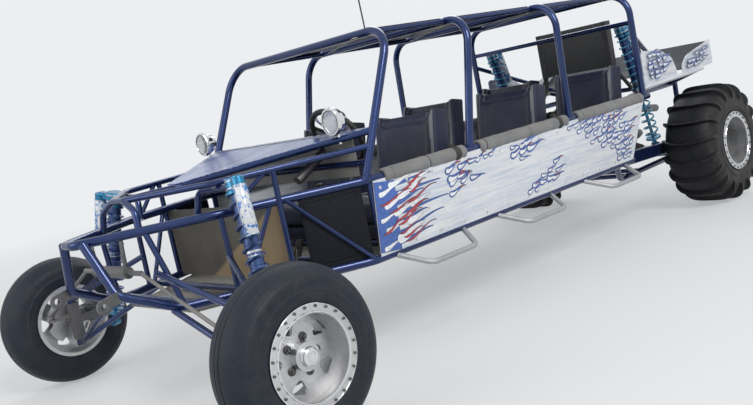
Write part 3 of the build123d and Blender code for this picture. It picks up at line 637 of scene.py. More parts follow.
def reservoir_finish():
    """White sleeve with broken blotches of blue."""
    finish = new_finish("reservoir", Coat_Weight=0.5, Coat_Roughness=0.08)
    tree = finish[1]
    place = own_place(tree)
    blotch = noise(tree, stretched(tree, place, (1.0, 1.0, 0.7)), 55.0, 4.0, 0.6)
    band = noise(tree, stretched(tree, place, (1.0, 1.0, 0.35)), 11.0, 1.0)
    mask = remap(tree, maths(tree, "ADD", blotch, times(tree, band, 0.6)), 0.80, 0.86)
    tone = mixed(tree, mask, (0.70, 0.72, 0.74), (0.03, 0.20, 0.52))
    dusty = effect(tree, "Settled Sand", Amount=0.25)
    rough = remap(tree, dusty, 0.0, 1.0, 0.22, 0.6)
    return dressed(finish, tone, dusty, rough, effect(tree, "Fine Scratches"), 0.0001, (0.40, 0.34, 0.26))


def footwell_finish():
    """Bare grey bulkhead with a tan board low down, and near-black side sheets."""
    finish = new_finish("footwell", Specular_IOR_Level=0.15)
    tree = finish[1]
    at = split(tree, own_place(tree))
    mottle = effect(tree, "Mottle")
    grey = mixed(tree, between(tree, mottle), (0.105, 0.10, 0.088), (0.17, 0.16, 0.14))
    board = maths(tree, "SUBTRACT", times(tree, at["Y"], 0.55), at["Z"])
    tone = mixed(tree, remap(tree, board, -0.62, -0.60), grey, (0.40, 0.30, 0.18))
    sides = remap(tree, at["X"], fx(0.498), fx(0.502))
    tone = mixed(tree, sides, tone, (0.010, 0.011, 0.016))
    kept_dust = remap(tree, sides, 0.0, 1.0, 1.0, 0.15)
    dusty = times(tree, effect(tree, "Settled Sand", Amount=0.3), kept_dust)
    rough = between(tree, mottle, 0.40, 0.60)
    return dressed(finish, tone, dusty, rough, effect(tree, "Fine Scratches"), 0.0002, (0.30, 0.26, 0.20))


def hood_finish():
    """Blue with pale streaks that run down the nose: a brushed grain, with the pale tone a painted
    reflection of the sky.
    """
    finish = new_finish("hood", Coat_Weight=0.35, Coat_Roughness=0.2)
    _, tree, shader = finish
    place = own_place(tree)
    fine = noise(tree, stretched(tree, place, (1.4, 30.0, 3.0), (0, 0, radians(14))), 2.4, 7.0, 0.7)
    broad = noise(tree, stretched(tree, place, (1.2, 7.0, 1.0)), 2.0, 4.0, 0.6)
    streaks = maths(tree, "ADD", times(tree, fine, 0.7), times(tree, broad, 0.3))
    base = tuple(bpy.context.scene.buggy_paint.hood)
    # The streaks darken and lighten the blue. They are partly a brushed grain and partly a painted
    # reflection of the sky, which the pale tone stands for.
    tone = mixed(tree, remap(tree, streaks, 0.42, 0.50), shade(base, 0.45), base)
    tone = mixed(tree, remap(tree, streaks, 0.50, 0.60), tone, (0.40, 0.52, 0.82))
    dusty = effect(tree, "Settled Sand", Amount=0.35, Low=0.9, High=1.3)
    feed(tree, shader.inputs["Metallic"], remap(tree, streaks, 0.45, 0.7, 0.1, 0.3))
    rough = remap(tree, dusty, 0.0, 1.0, 0.26, 0.7)
    return dressed(finish, tone, dusty, rough, effect(tree, "Sprayed Ripple"), 0.0003)


def seat_finish():
    """Navy vinyl, silver grey where the piece's strip attribute says so."""
    paint = bpy.context.scene.buggy_paint
    finish = new_finish("vinyl", Sheen_Weight=0.1, Specular_IOR_Level=0.45)
    tree = finish[1]
    strip = add(tree, "ShaderNodeAttribute", attribute_name="strip").outputs["Fac"]
    mottle = effect(tree, "Mottle", Slow=5.0, Fine=90.0)
    navy = varied(tree, mottle, tuple(paint.vinyl), 0.7, 1.5)
    silver = varied(tree, mottle, tuple(paint.strip), 0.8, 1.0)
    tone = mixed(tree, remap(tree, strip, 0.45, 0.55), navy, silver)
    dusty = effect(tree, "Settled Sand", Amount=0.14, Low=0.5, High=1.4, Scale=9.0)
    creases = times(tree, noise(tree, own_place(tree), 14.0, 3.0), 3.0)
    height = maths(tree, "ADD", effect(tree, "Vinyl Grain"), creases)
    return dressed(finish, tone, dusty, between(tree, mottle, 0.34, 0.52), height, 0.0006)


def foam_finish():
    """Grey foam sleeve, paler in patches."""
    finish = new_finish("foam", Sheen_Weight=0.25, Sheen_Roughness=0.6)
    tree = finish[1]
    mottle = effect(tree, "Mottle", Slow=8.0, Fine=160.0)
    tone = varied(tree, mottle, tuple(bpy.context.scene.buggy_paint.foam), 0.7, 1.3)
    dusty = effect(tree, "Settled Sand", Amount=0.5, Low=0.6, High=1.6, Scale=14.0)
    rough = between(tree, mottle, 0.75, 0.95)
    return dressed(finish, tone, dusty, rough, effect(tree, "Foam Cells"), 0.0016)


def tyre_finish(name, sand, base):
    """Rubber with a film of dust on its side walls, less on the tread as painted shade that keeps it dark,
    and sand where it lies low.
    """
    finish = new_finish(name, Specular_IOR_Level=0.25)
    tree = finish[1]
    mottle = effect(tree, "Mottle", Slow=2.5, Fine=90.0)
    tone = varied(tree, mottle, base, 0.85, 1.35)
    place = own_place(tree)
    film = remap(tree, noise(tree, place, 16.0, 7.0, 0.72), 0.40, 0.85, 0.05, 0.8)
    low = effect(tree, "Settled Sand", Amount=0.7, Low=0.0, High=0.75, Scale=14.0)
    sideways = maths(tree, "ABSOLUTE", split(tree, own_place(tree, "Normal"))["Y"])
    # The side walls get the full film of dust and the tread about a third of it. The walls' dust is real
    # dust; the tread's lack of it is painted shade.
    wall = remap(tree, sideways, 0.55, 0.85, sand * 0.3, sand)
    film = times(tree, maths(tree, "ADD", film, low, clamp=True), wall)
    dust = mixed(tree, mottle, (0.16, 0.155, 0.15), shade(tuple(bpy.context.scene.buggy_paint.sand), 0.7))
    height = maths(tree, "ADD", effect(tree, "Vinyl Grain", Scale=300.0), noise(tree, place, 60.0, 4.0))
    return dressed(finish, tone, film, between(tree, mottle, 0.42, 0.62), height, 0.0008, dust)


def clear_finish(name, dull, bright, rough, **sockets):
    """Chrome or glass whose colour and roughness wander a little."""
    material, tree, shader = new_finish(name, **sockets)
    mottle = effect(tree, "Mottle")
    feed(tree, shader.inputs["Base Color"], mixed(tree, mottle, dull, bright))
    feed(tree, shader.inputs["Roughness"], between(tree, mottle, *rough))
    return material


def darken_dish(material, axle, reach, tone):
    """Deep unlit middle of a wheel, inside this distance from its axle."""
    tree = material.node_tree
    shader = tree.nodes["Principled BSDF"]
    at = split(tree, own_place(tree))
    along = maths(tree, "SUBTRACT", at["X"], axle[0])
    up = maths(tree, "SUBTRACT", at["Z"], axle[2])
    away = maths(tree, "ADD", times(tree, along, along), times(tree, up, up))
    dish = remap(tree, away, reach * reach, (reach + 0.003) ** 2, 1.0, 0.0)
    for socket, dark in (("Base Color", tone), ("Roughness", (0.6, 0.6, 0.6))):
        plain = shader.inputs[socket].links[0].from_socket
        feed(tree, shader.inputs[socket], mixed(tree, dish, plain, dark))


STEEL = (0.45, 0.46, 0.48)
BRIGHT = (0.62, 0.63, 0.65)
RIPPLE, SCRATCHES, GRAIN = "Sprayed Ripple", "Fine Scratches", "Vinyl Grain"
# Hard finishes: base colour or the paint's name, roughness, metal, relief and its depth, and sand; then,
# where they differ from the usual ones, the worn edge, the coat and how far the tone wanders
HARD_FINISHES = {
    "frame": ("frame", 0.24, 0.6, RIPPLE, 0.0002, 0.10, None, 0.45),
    "roof": ("roof", 0.50, 0.0, RIPPLE, 0.0003, 0.25, None, 0.1),
    "aluminium": ((0.34, 0.335, 0.32), 0.45, 0.7, SCRATCHES, 0.0003, 0.7),
    "wheel": (BRIGHT, 0.30, 0.95, SCRATCHES, 0.0002, 0.55),
    "rear_wheel": (BRIGHT, 0.30, 0.95, SCRATCHES, 0.0002, 0.55),
    "steel": ((0.17, 0.172, 0.18), 0.42, 0.8, SCRATCHES, 0.0003, 0.6),
    "worn_silver": ((0.44, 0.45, 0.47), 0.40, 0.7, SCRATCHES, 0.0003, 0.45, (0.2, 0.2, 0.21)),
    "bolt": ((0.09, 0.09, 0.095), 0.42, 0.7, SCRATCHES, 0.0002, 0.35, STEEL),
    "shock": ("shock", 0.22, 0.7, SCRATCHES, 0.0001, 0.22, None, 0.5),
    "shock_turquoise": ((0.035, 0.22, 0.38), 0.24, 0.7, SCRATCHES, 0.0001, 0.22, None, 0.5),
    "spring": ((0.50, 0.53, 0.57), 0.28, 0.9, SCRATCHES, 0.0001, 0.2),
    "spring_blue": ((0.014, 0.055, 0.20), 0.30, 0.5, RIPPLE, 0.0001, 0.2, STEEL, 0.5),
    "spring_turquoise": ((0.05, 0.27, 0.42), 0.28, 0.7, SCRATCHES, 0.0001, 0.2, STEEL, 0.5),
    "cast": ((0.055, 0.055, 0.06), 0.55, 0.6, RIPPLE, 0.0008, 0.5, STEEL),
    "intake": ((0.42, 0.43, 0.45), 0.38, 0.9, RIPPLE, 0.0006, 0.35),
    "plastic": ((0.014, 0.014, 0.015), 0.42, 0.0, GRAIN, 0.0002, 0.3),
    "core": ((0.055, 0.057, 0.060), 0.60, 0.3, "Radiator Fins", 0.0008, 0.4),
    "rubber": ((0.018, 0.018, 0.019), 0.6, 0.0, GRAIN, 0.0002, 0.5),
    # Wing: dark slate, partly its own finish and partly painted shade of a sheet that faces away from the
    # light.
    "wing": ((0.030, 0.036, 0.050), 0.62, 0.0, RIPPLE, 0.0003, 0.25),
    "strap": ((0.55, 0.52, 0.44), 0.75, 0.0, "Foam Cells", 0.0003, 0.2),
    "filter": ((0.20, 0.035, 0.03), 0.8, 0.0, "Foam Cells", 0.0006, 0.4),
    "flame_blue": ("flame_blue", 0.24, 0.0, RIPPLE, 0.0002, 0.16, None, 0.6, 0.35),
    "flame_red": ("flame_red", 0.24, 0.0, RIPPLE, 0.0002, 0.16, None, 0.6, 0.35),
    "flame_line": ("outline", 0.24, 0.0, RIPPLE, 0.0002, 0.16, None, 0.6, 0.35),
    "flame_white": ("panel", 0.24, 0.0, RIPPLE, 0.0002, 0.16, None, 0.6, 0.35),
}
EFFECTS = (
    build_dust, build_wear, build_mottle, build_peel, build_scratches, build_skin, build_cells, build_fins,
)
FINISHES = {}


def make_finishes():
    """Every finish that a node or piece uses, by its plain name."""
    for build in EFFECTS:
        build()
    paint = bpy.context.scene.buggy_paint
    for name, (base, *rest) in HARD_FINISHES.items():
        base = tuple(getattr(paint, base)) if isinstance(base, str) else base
        FINISHES[name] = hard_finish(name, base, *rest)
    # Painted shade in the deep middle of the rear rims.
    darken_dish(FINISHES["rear_wheel"], REAR_WHEEL, 0.160, (0.085, 0.080, 0.072))
    wing = FINISHES["wing"].node_tree.nodes["Principled BSDF"]
    wing.inputs["Specular IOR Level"].default_value = 0.15
    for name, make in (
        ("panel", panel_finish), ("reservoir", reservoir_finish), ("footwell", footwell_finish),
        ("hood", hood_finish), ("vinyl", seat_finish), ("foam", foam_finish),
    ):
        FINISHES[name] = make()
    FINISHES["front_tyre"] = tyre_finish("front_tyre", 0.14, (0.012, 0.017, 0.027))
    # The rear tyre's base is darker than the front's: black rubber, and partly painted shade.
    FINISHES["rear_tyre"] = tyre_finish("rear_tyre", 0.34, (0.006, 0.007, 0.010))
    FINISHES["chrome"] = clear_finish("chrome", BRIGHT, (0.86, 0.87, 0.88), (0.05, 0.16), Metallic=1.0)
    FINISHES["lens"] = clear_finish(
        "lens", (0.86, 0.89, 0.92), (0.96, 0.97, 0.98), (0.03, 0.12), Transmission_Weight=0.9, IOR=1.48
    )


# Which finish each node of the frame wears
NODE_FINISH = {
    "frame": (
        "belt_rail", "lower_rails", "floor_crossbars", "side_posts", "hoop_front", "hoop_second",
        "hoop_third", "hoop_rear", "roof_rails", "hood_rail", "nose_hoop", "upper_rails", "nose_braces",
        "engine_rail_upper", "engine_rails_lower", "engine_braces", "front_arms", "rear_arms",
    ),
    "roof": ("roof_sheets",),
    "aluminium": ("belly_pan", "dash"),
    "footwell": ("footwell_panels",),
    "hood": ("hood",),
    "panel": ("side_panel_left", "side_panel_right", "tail_fins"),
    "steel": (
        "front_knuckle_left", "front_knuckle_right", "steering_rack", "rack_housing",
        "halfshaft_left", "halfshaft_right", "steering_column", "exhaust", "tow_eyes",
    ),
    "worn_silver": ("side_steps",),
    "wheel": ("front_rim_left", "front_rim_right"),
    "rear_wheel": ("rear_rim_left", "rear_rim_right"),
    "shock": ("front_shocks",),
    "shock_turquoise": ("rear_shocks",),
    "spring_turquoise": ("rear_springs",),
    "spring_blue": ("front_springs",),
    "cast": ("engine", "transaxle", "radiator"),
    "intake": ("engine_intake",),
    "chrome": ("headlamps",),
    "plastic": ("steering_wheel", "antenna"),
    "wing": ("tail_wing",),
    "vinyl": ("seat_row_1", "seat_row_2", "seat_row_3"),
    "foam": ("rail_pads",),
    "front_tyre": ("front_tyre_left", "front_tyre_right"),
    "rear_tyre": ("rear_tyre_left", "rear_tyre_right"),
}


class BUGGY_OT_frame(bpy.types.Operator):
    """Gives every node of the part its finish"""

    bl_idname = "buggy.frame"
    bl_label = "Finish Frame"

    def execute(self, context):
        make_finishes()
        for finish, names in NODE_FINISH.items():
            for name in names:
                obj = frame["nodes"][name]
                obj.data.materials.clear()
                obj.data.materials.append(FINISHES[finish])
        return {"FINISHED"}


# Tyres


def there_and_back(half):
    """A section's points on one side, then the other side's, closed at the first."""
    whole = half + [(r, -offset) for r, offset in reversed(half)]
    return whole + [whole[0]]


FRONT_TYRE_SECTION = [
    (0.196, 0.0875), (0.199, 0.0965), (0.206, 0.1065), (0.216, 0.1128), (0.229, 0.1162), (0.247, 0.1175),
    (0.2525, 0.1176), (0.2545, 0.1188), (0.2585, 0.1188), (0.2605, 0.1174), (0.276, 0.1168), (0.292, 0.1148),
    (0.306, 0.111), (0.317, 0.1055), (0.3185, 0.1022), (0.3315, 0.0945), (0.333, 0.0905), (0.344, 0.0795),
    (0.3525, 0.0655), (0.3585, 0.0495), (0.3622, 0.0325),
    (0.3636, 0.0165), (0.3608, 0.0152), (0.3608, 0.0112),
    (0.3644, 0.0098), (0.365, 0.001),
]
REAR_TYRE_SECTION = [
    (0.201, 0.1625), (0.206, 0.176), (0.216, 0.1865), (0.231, 0.191), (0.2445, 0.1925), (0.2465, 0.194),
    (0.2505, 0.194), (0.2525, 0.1925), (0.275, 0.1922), (0.305, 0.1895), (0.33, 0.1835), (0.351, 0.174),
    (0.3695, 0.1605), (0.3845, 0.1435), (0.395, 0.1235), (0.4015, 0.0985), (0.4045, 0.06), (0.405, 0.001),
]
PADDLE_EDGE = [
    (0.292, 0.187), (0.306, 0.1945), (0.326, 0.1985), (0.350, 0.1975), (0.374, 0.190), (0.395, 0.176),
    (0.412, 0.155), (0.4225, 0.128), (0.428, 0.094), (0.43, 0.045),
]
PADDLES = 18


def paddle_piece():
    """One paddle: an arch across the tread, thick at its root and thin at its edge."""
    centre = Vector(REAR_WHEEL)
    outline = PADDLE_EDGE + [(r, -offset) for r, offset in reversed(PADDLE_EDGE)]
    outline += [(0.31, -0.12), (0.31, 0.12)]
    root = bpy.context.scene.buggy_wheels.paddle
    obj = chain([centre + Vector((-root / 2, offset, -r)) for r, offset in outline])
    bpy.ops.mesh.select_all(action="SELECT")
    bpy.ops.mesh.edge_face_add()
    bpy.ops.mesh.extrude_region_move(TRANSFORM_OT_translate={"value": (root, 0, 0)})
    turn_outward()
    for vertex in obj.data.vertices:
        thin = min(max((centre.z - vertex.co.z - 0.385) / 0.045, 0), 1)
        reach = abs(vertex.co.y - centre.y)
        vertex.co.x = centre.x + (vertex.co.x - centre.x) * (1 - 0.5 * thin) - 0.012 * thin
        vertex.co.x += 0.03 * (reach / 0.2) ** 2
    edit(obj)
    bpy.ops.mesh.bevel(offset=0.0035, segments=2, affect="EDGES")
    leave()
    return obj


class BUGGY_OT_tyres(bpy.types.Operator):
    """Smooth front tyres with ribbed shoulders and rear tyres with paddles"""

    bl_idname = "buggy.tyres"
    bl_label = "Tyres"

    def execute(self, context):
        steps = context.scene.buggy_wheels.steps
        front = [wheel_lathe(there_and_back(FRONT_TYRE_SECTION), FRONT_WHEEL, steps)]
        rear = [wheel_lathe(there_and_back(REAR_TYRE_SECTION), REAR_WHEEL, steps)]
        rear.append(ring_of(paddle_piece(), PADDLES, REAR_WHEEL))
        for end, pieces, angle in (("front", front, 50), ("rear", rear, 40)):
            paired(
                pieces, f"{end}_tyre_detail", f"{end}_tyre", angle,
                body=f"{end}_wheel_{{}}", stands_for=f"{end}_tyre_{{}}",
            )
        return {"FINISHED"}


# Rims

# Nut seat: radius and offset of the cup, and the circle that the five stand on
CUP_SECTION = (
    (0.0115, 0.0), (0.0115, 0.008), (0.0135, 0.0095), (0.016, 0.008), (0.0185, 0.0), (0.0115, 0.0),
)
NUT_CIRCLE = 0.074
BEAD_RING_BOLTS = 0.1965
OUTWARD = (-pi / 2, 0, 0)
# End, middle, offsets of the bead ring and of the nut seats, hub radius and the hub's reach
WHEELS = (
    ("front", FRONT_WHEEL, 0.1165, 0.028, 0.034, 0.092),
    ("rear", REAR_WHEEL, 0.1915, -0.012, 0.034, 0.060),
)


def ring_bolts(centre, offset, count):
    """Bolt heads round the bead ring, facing outward."""
    place = (centre[0] + BEAD_RING_BOLTS, centre[1] + offset, centre[2])
    return ring_of(hex_bolt(0.0062, 0.007, place, OUTWARD), count, centre)


def hub_trim(centre, end, reach):
    """Collar, cap ring and end face on the hub, out to this offset."""
    collar = [
        (end + 0.0005, reach - 0.022), (end + 0.006, reach - 0.022), (end + 0.006, reach - 0.012),
        (end + 0.003, reach - 0.008), (end + 0.0005, reach - 0.008), (end + 0.0005, reach - 0.022),
    ]
    face = [
        (0.0, reach + 0.0035), (end * 0.42, reach + 0.0035), (end * 0.46, reach + 0.001),
        (end * 0.60, reach + 0.001), (end * 0.66, reach + 0.004), (end * 0.92, reach + 0.003),
        (end + 0.001, reach), (end + 0.001, reach - 0.006), (0.0, reach - 0.006),
    ]
    return [wheel_lathe(section, centre, 48) for section in (collar, face)]


def nut_seats(centre, offset):
    """Raised cups round the five wheel nuts, with the nuts' hexagons."""
    place = (centre[0] + NUT_CIRCLE, centre[1] + offset, centre[2])
    nut_place = (place[0], place[1] + 0.014, place[2])
    pair = join([wheel_lathe(CUP_SECTION, place, 20), hex_bolt(0.0095, 0.010, nut_place, OUTWARD)])
    return ring_of(pair, 5, centre, first=pi / 5)


class BUGGY_OT_rims(bpy.types.Operator):
    """Bead-ring bolts, wheel nuts, hub collars and bright lips"""

    bl_idname = "buggy.rims"
    bl_label = "Rims"

    def execute(self, context):
        count = context.scene.buggy_wheels.ring_bolts
        for end, centre, ring, disc, hub, reach in WHEELS:
            body = f"{end}_wheel_{{}}"
            bolts = [ring_bolts(centre, ring + 0.002, count), nut_seats(centre, disc)]
            paired(bolts, f"{end}_wheel_bolts", "bolt", 35, body)
            lip = [
                (0.2068, ring - 0.008), (0.2085, ring - 0.006), (0.2085, ring), (0.2065, ring + 0.002),
                (0.2045, ring + 0.0015), (0.2045, ring - 0.008), (0.2068, ring - 0.008),
            ]
            bead = [
                (0.170, ring - 0.0005), (0.172, ring + 0.0025),
                (0.176, ring + 0.0025), (0.178, ring - 0.0005),
            ]
            bright = hub_trim(centre, hub, reach)
            bright += [wheel_lathe(section, centre, 112) for section in (lip, bead)]
            paired(bright, f"{end}_wheel_trim", "chrome", 30, body)
        return {"FINISHED"}


# Seats

# Distance of each row's front edge behind the front axle
SEAT_FRONTS = {1: 1.130, 2: 2.060, 3: 2.960}
SEAT_MIDDLE = 0.348
SEAT_FOOT = 0.513
SEAT_WIDE = 0.545
SEAT_INNER = SEAT_WIDE / 2 - 0.075
SEAT_WING = 0.065
SIT_TILT = radians(-5.7)
BACK_TILT = radians(78.5)
# Length, thickness and cross seams of a cushion and of a back
PADS = ((0.385, 0.105, (-0.115, -0.02, 0.075)), (0.47, 0.088, (0.165,)))


def swell(obj, cap):
    """Blows the closed shape up as stuffed cloth, by no more than the cap, and keeps the result."""
    start = [vertex.co.copy() for vertex in obj.data.vertices]
    cloth = obj.modifiers.new("Cloth", "CLOTH")
    cloth.settings.use_pressure = True
    cloth.settings.uniform_pressure_force = bpy.context.scene.buggy_seats.pressure
    cloth.settings.effector_weights.gravity = 0
    cloth.settings.tension_stiffness = 12
    for number in range(1, 21):
        bpy.context.scene.frame_set(number)
    shown = obj.evaluated_get(bpy.context.evaluated_depsgraph_get())
    moved = [vertex.co.copy() for vertex in shown.data.vertices]
    obj.modifiers.remove(cloth)
    bpy.context.scene.frame_set(1)
    for vertex, before, after in zip(obj.data.vertices, start, moved):
        step = after - before
        if step.length > cap:
            step *= cap / step.length
        vertex.co = before + step


def cushion(size, wing, wing_up):
    """Block with raised wings along its sides, remeshed and swollen, lying at the origin.

    X is along the seat, Y across and Z up from the block's middle."""
    deselect()
    bpy.ops.mesh.primitive_cube_add(size=1)
    obj = bpy.context.object
    obj.scale = size
    bpy.ops.object.transform_apply(location=False, rotation=False, scale=True)
    edit(obj)
    bpy.ops.mesh.subdivide(number_cuts=15)
    leave()
    for vertex in obj.data.vertices:
        edge = abs(vertex.co.y) - (size[1] / 2 - wing)
        if vertex.co.z > 0 and edge > -0.03:
            rise = min(max((edge + 0.03) / 0.05, 0), 1)
            vertex.co.z += wing_up * rise * rise * (3 - 2 * rise) * (vertex.co.z / (size[2] / 2))
    modified(obj, "REMESH", mode="VOXEL", voxel_size=bpy.context.scene.buggy_seats.voxel)
    modified(obj, "SMOOTH", iterations=4)
    swell(obj, 0.018)
    return obj


def sew(obj, lines, wing_at):
    """Presses sewn channels into the top, marks the strip on the wings, and smooths once.

    Each line has its axis, its place on that axis, and its ends on the other one."""
    modified(obj, "SUBSURF", levels=1, render_levels=1)
    depth = bpy.context.scene.buggy_seats.channel
    strip = obj.data.attributes.new("strip", "FLOAT", "POINT")
    normals = [vertex.normal.copy() for vertex in obj.data.vertices]
    for vertex, normal, mark in zip(obj.data.vertices, normals, strip.data):
        near = 9.0
        if normal.z > 0.2:
            for axis, at, low, high in lines:
                if low <= vertex.co[1 - axis] <= high:
                    near = min(near, abs(vertex.co[axis] - at))
        vertex.co -= normal * depth * exp(-((near / 0.0075) ** 2))
        outside = abs(vertex.co.y) - wing_at
        mark.value = 1.0 if 0.004 < outside < 0.024 else 0.0
    return obj


class BUGGY_OT_seats(bpy.types.Operator):
    """Padded seats, two to a row, on vinyl boxes"""

    bl_idname = "buggy.seats"
    bl_label = "Seats"

    def execute(self, context):
        lines = [(1, y, -1.0, 1.0) for y in (-SEAT_INNER, SEAT_INNER)]
        made = []
        for long, thick, seams in PADS:
            across = [(0, x, -SEAT_INNER, SEAT_INNER) for x in seams]
            pad = cushion((long, SEAT_WIDE - 0.02, thick), SEAT_WING, 0.026)
            made.append(sew(pad, lines + across, SEAT_INNER + 0.012))
        sit = Matrix.Translation((-0.208, 0, 0.137)) @ Matrix.Rotation(SIT_TILT, 4, "Y")
        lean = Matrix.Translation((-0.482, 0, 0.392)) @ Matrix.Rotation(BACK_TILT, 4, "Y")
        lean = lean @ Matrix.Rotation(pi, 4, "Z")
        for row, front in SEAT_FRONTS.items():
            for side, sign in SIDES:
                base = Matrix.Translation((fx(front), sign * SEAT_MIDDLE, SEAT_FOOT))
                for part, pad, place in (("cushion", made[0], sit), ("back", made[1], lean)):
                    name = f"seat_{row}_{part}_{side}"
                    piece = finished([copy_of(pad, base @ place)], name, "vinyl", 60)
                    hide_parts(f"seat_row_{row}")
                middle = (fx(front + 0.215), sign * SEAT_MIDDLE, SEAT_FOOT + 0.042)
                box = block((0.36, SEAT_WIDE - 0.05, 0.075), middle, 0.012)
                finished([box], f"seat_{row}_box_{side}", "vinyl", 35)
        for pad in made:
            bpy.data.objects.remove(pad)
        return {"FINISHED"}


# Foam sleeves on the belt rail

# Distances of each sleeve's ends behind the front axle
SLEEVES = ((1.000, 1.620), (1.740, 2.590), (2.700, 3.490))
TIE_SECTION = ((0.0335, -0.0025), (0.0358, -0.0025), (0.0358, 0.0025), (0.0335, 0.0025))


def sleeve(front, rear, chooser):
    """Sleeve along the rail, nipped in where ties hold it, and the ties."""
    long = rear - front
    ties = [front + 0.05, (front + rear) / 2 + chooser.uniform(-0.06, 0.06), rear - 0.05]
    section = [(TUBE_R, fx(front))]
    count = int(long / 0.008)
    for i in range(count + 1):
        at = front + long * i / count
        radius = 0.0378 + 0.0006 * sin(at * 31) + 0.0005 * sin(at * 83 + 1)
        for tie in ties:
            radius -= 0.0030 * exp(-(((at - tie) / 0.006) ** 2))
        from_end = min(at - front, rear - at)
        radius -= 0.006 * exp(-((from_end / 0.005) ** 2))
        section.append((radius, fx(at)))
    section += [(TUBE_R, fx(rear)), section[0]]
    bands = [x_lathe(TIE_SECTION, (fx(tie), RAIL_Y, BELT_Z), 32) for tie in ties]
    return [x_lathe(section, (0, RAIL_Y, BELT_Z), 40)], bands


class BUGGY_OT_sleeves(bpy.types.Operator):
    """Foam sleeves with ties on the belt rail between the hoops"""

    bl_idname = "buggy.sleeves"
    bl_label = "Foam Sleeves"

    def execute(self, context):
        chooser = random.Random(5)
        for index, (front, rear) in enumerate(SLEEVES, 1):
            foam, ties = sleeve(front, rear, chooser)
            for each in paired(foam, f"sleeve_{index}", "foam", 50, stands_for="rail_pads"):
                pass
            paired(ties, f"ties_{index}", "plastic", 50)
        return {"FINISHED"}


# Painted flames: places are distances behind the panel's front edge and above its lower edge

PANEL_FRONT = 0.880
PANEL_LOW = 0.512
PANEL_HEIGHT = 0.350


def flame_line(at, up, reach, rise, bend, late, count, crowd=1.0):
    """Points of a cubic curve from root to tip, with its handles at 35% of the reach and at late."""
    root = Vector((at, up))
    steps = ((0, 0), (reach * 0.35, -bend), (reach * late, rise + bend), (reach, rise))
    handles = [root + Vector(step) for step in steps]
    points = []
    for i in range(count + 1):
        t = (i / count) ** crowd
        parts = ((1 - t) ** 3, 3 * t * (1 - t) ** 2, 3 * t * t * (1 - t), t**3)
        points.append(sum((place * part for place, part in zip(handles, parts)), Vector((0, 0))))
    return points


def distances(points):
    """How far each point lies from the first, along the line."""
    spans = [0.0]
    for before, after in zip(points, points[1:]):
        spans.append(spans[-1] + (after - before).length)
    return spans


def tapered(points, width, peak, blunt=0.8):
    """Half widths that grow from nothing to the width at the peak and fall to nothing at the end."""
    spans = distances(points)
    widths = []
    for span in spans:
        t = span / spans[-1]
        widths.append(width * ((t / peak) ** blunt if t < peak else (1 - (t - peak) / (1 - peak)) ** 1.15))
    return widths


def drop(at, up, radius, reach, rise, bend, share=1.0):
    """Lick with a round head that thins out to the rear, cut off at this share of its length."""
    line = flame_line(at, up, reach, rise, bend, 0.65, 26, 1.5)
    spans = distances(line)
    long = spans[-1] * share
    points, widths = [], []
    for point, span in zip(line, spans):
        if span > long:
            break
        points.append(point)
        if span < radius:
            widths.append(radius * (1 - (1 - span / radius) ** 2) ** 0.5)
        else:
            widths.append(radius * (1 - (span - radius) / (long - radius)) ** (0.85 if share < 1 else 1.25))
    return points, widths


def cluster(chooser, at, up, columns, radius, rear):
    """Row of round-headed licks with pale middles, each laid over the last one's tail."""
    blue, white, red = [], [], []
    for column in range(columns):
        head = at + column * radius * 3.9 + chooser.uniform(-0.9, 0.9) * radius
        height = up + chooser.uniform(-0.5, 0.5) * radius
        size = radius * chooser.uniform(0.70, 1.10)
        reach = min(size * chooser.uniform(6.0, 9.5), rear(height) - head)
        rise = chooser.uniform(-0.6, 2.6) * size
        bend = chooser.uniform(0.7, 1.5) * size
        if reach < 3.6 * size:
            continue
        rim = size * 0.42
        blue.append(drop(head, height, size, reach, rise, bend))
        white.append(drop(head + rim, height, size - rim, reach - rim, rise, bend, 0.50))
        if chooser.random() < 0.35:
            tail = [point for point in blue[-1][0] if point.x > head + 0.6 * reach]
            if len(tail) > 3:
                red.append((tail, tapered(tail, size * 0.15, 0.3)))
    return blue, white, red


def lick(at, up, reach, rise, width, bend):
    """Flame that swells from its root and curls to a thin tip."""
    points = flame_line(at, up, reach, rise, bend, 0.62, 20)
    return points, tapered(points, width, 0.22)


def tongue(at, up, reach, rise, half, bend):
    """Flame rooted in a field of paint, with a round notch on either side."""
    points = flame_line(at, up, reach, rise, bend, 0.62, 36)
    notch = half * 0.62
    widths = []
    for span in distances(points):
        near = min(span / notch, 1)
        body = half - notch * (1 - (1 - near) ** 2) ** 0.5
        widths.append(body * (1 - max(span - notch, 0) / (reach * 1.06)) ** 0.9)
    widths[-1] = 0.0
    return points, widths


def panel_front(up):
    """Distance of the panel's leaning front edge at this height."""
    return 0.874 + up * 0.116 - PANEL_FRONT


def panel_rear(up):
    """Distance of the panel's sloping rear edge at this height."""
    return 3.25 + min(up, 0.34) / 1.42 - PANEL_FRONT - 0.02


def held_inside(strokes, edge=0.004):
    """Strokes that stay on the panel; tips past its edges are pulled back to them."""
    kept = []
    for points, widths in strokes:
        held = []
        for point, width in zip(points, widths):
            top, foot = PANEL_HEIGHT - edge - width, edge + width
            reach = panel_rear(point.y) - width
            held.append(Vector((min(point.x, reach), min(max(point.y, foot), top))))
        kept.append((held, widths))
    return kept


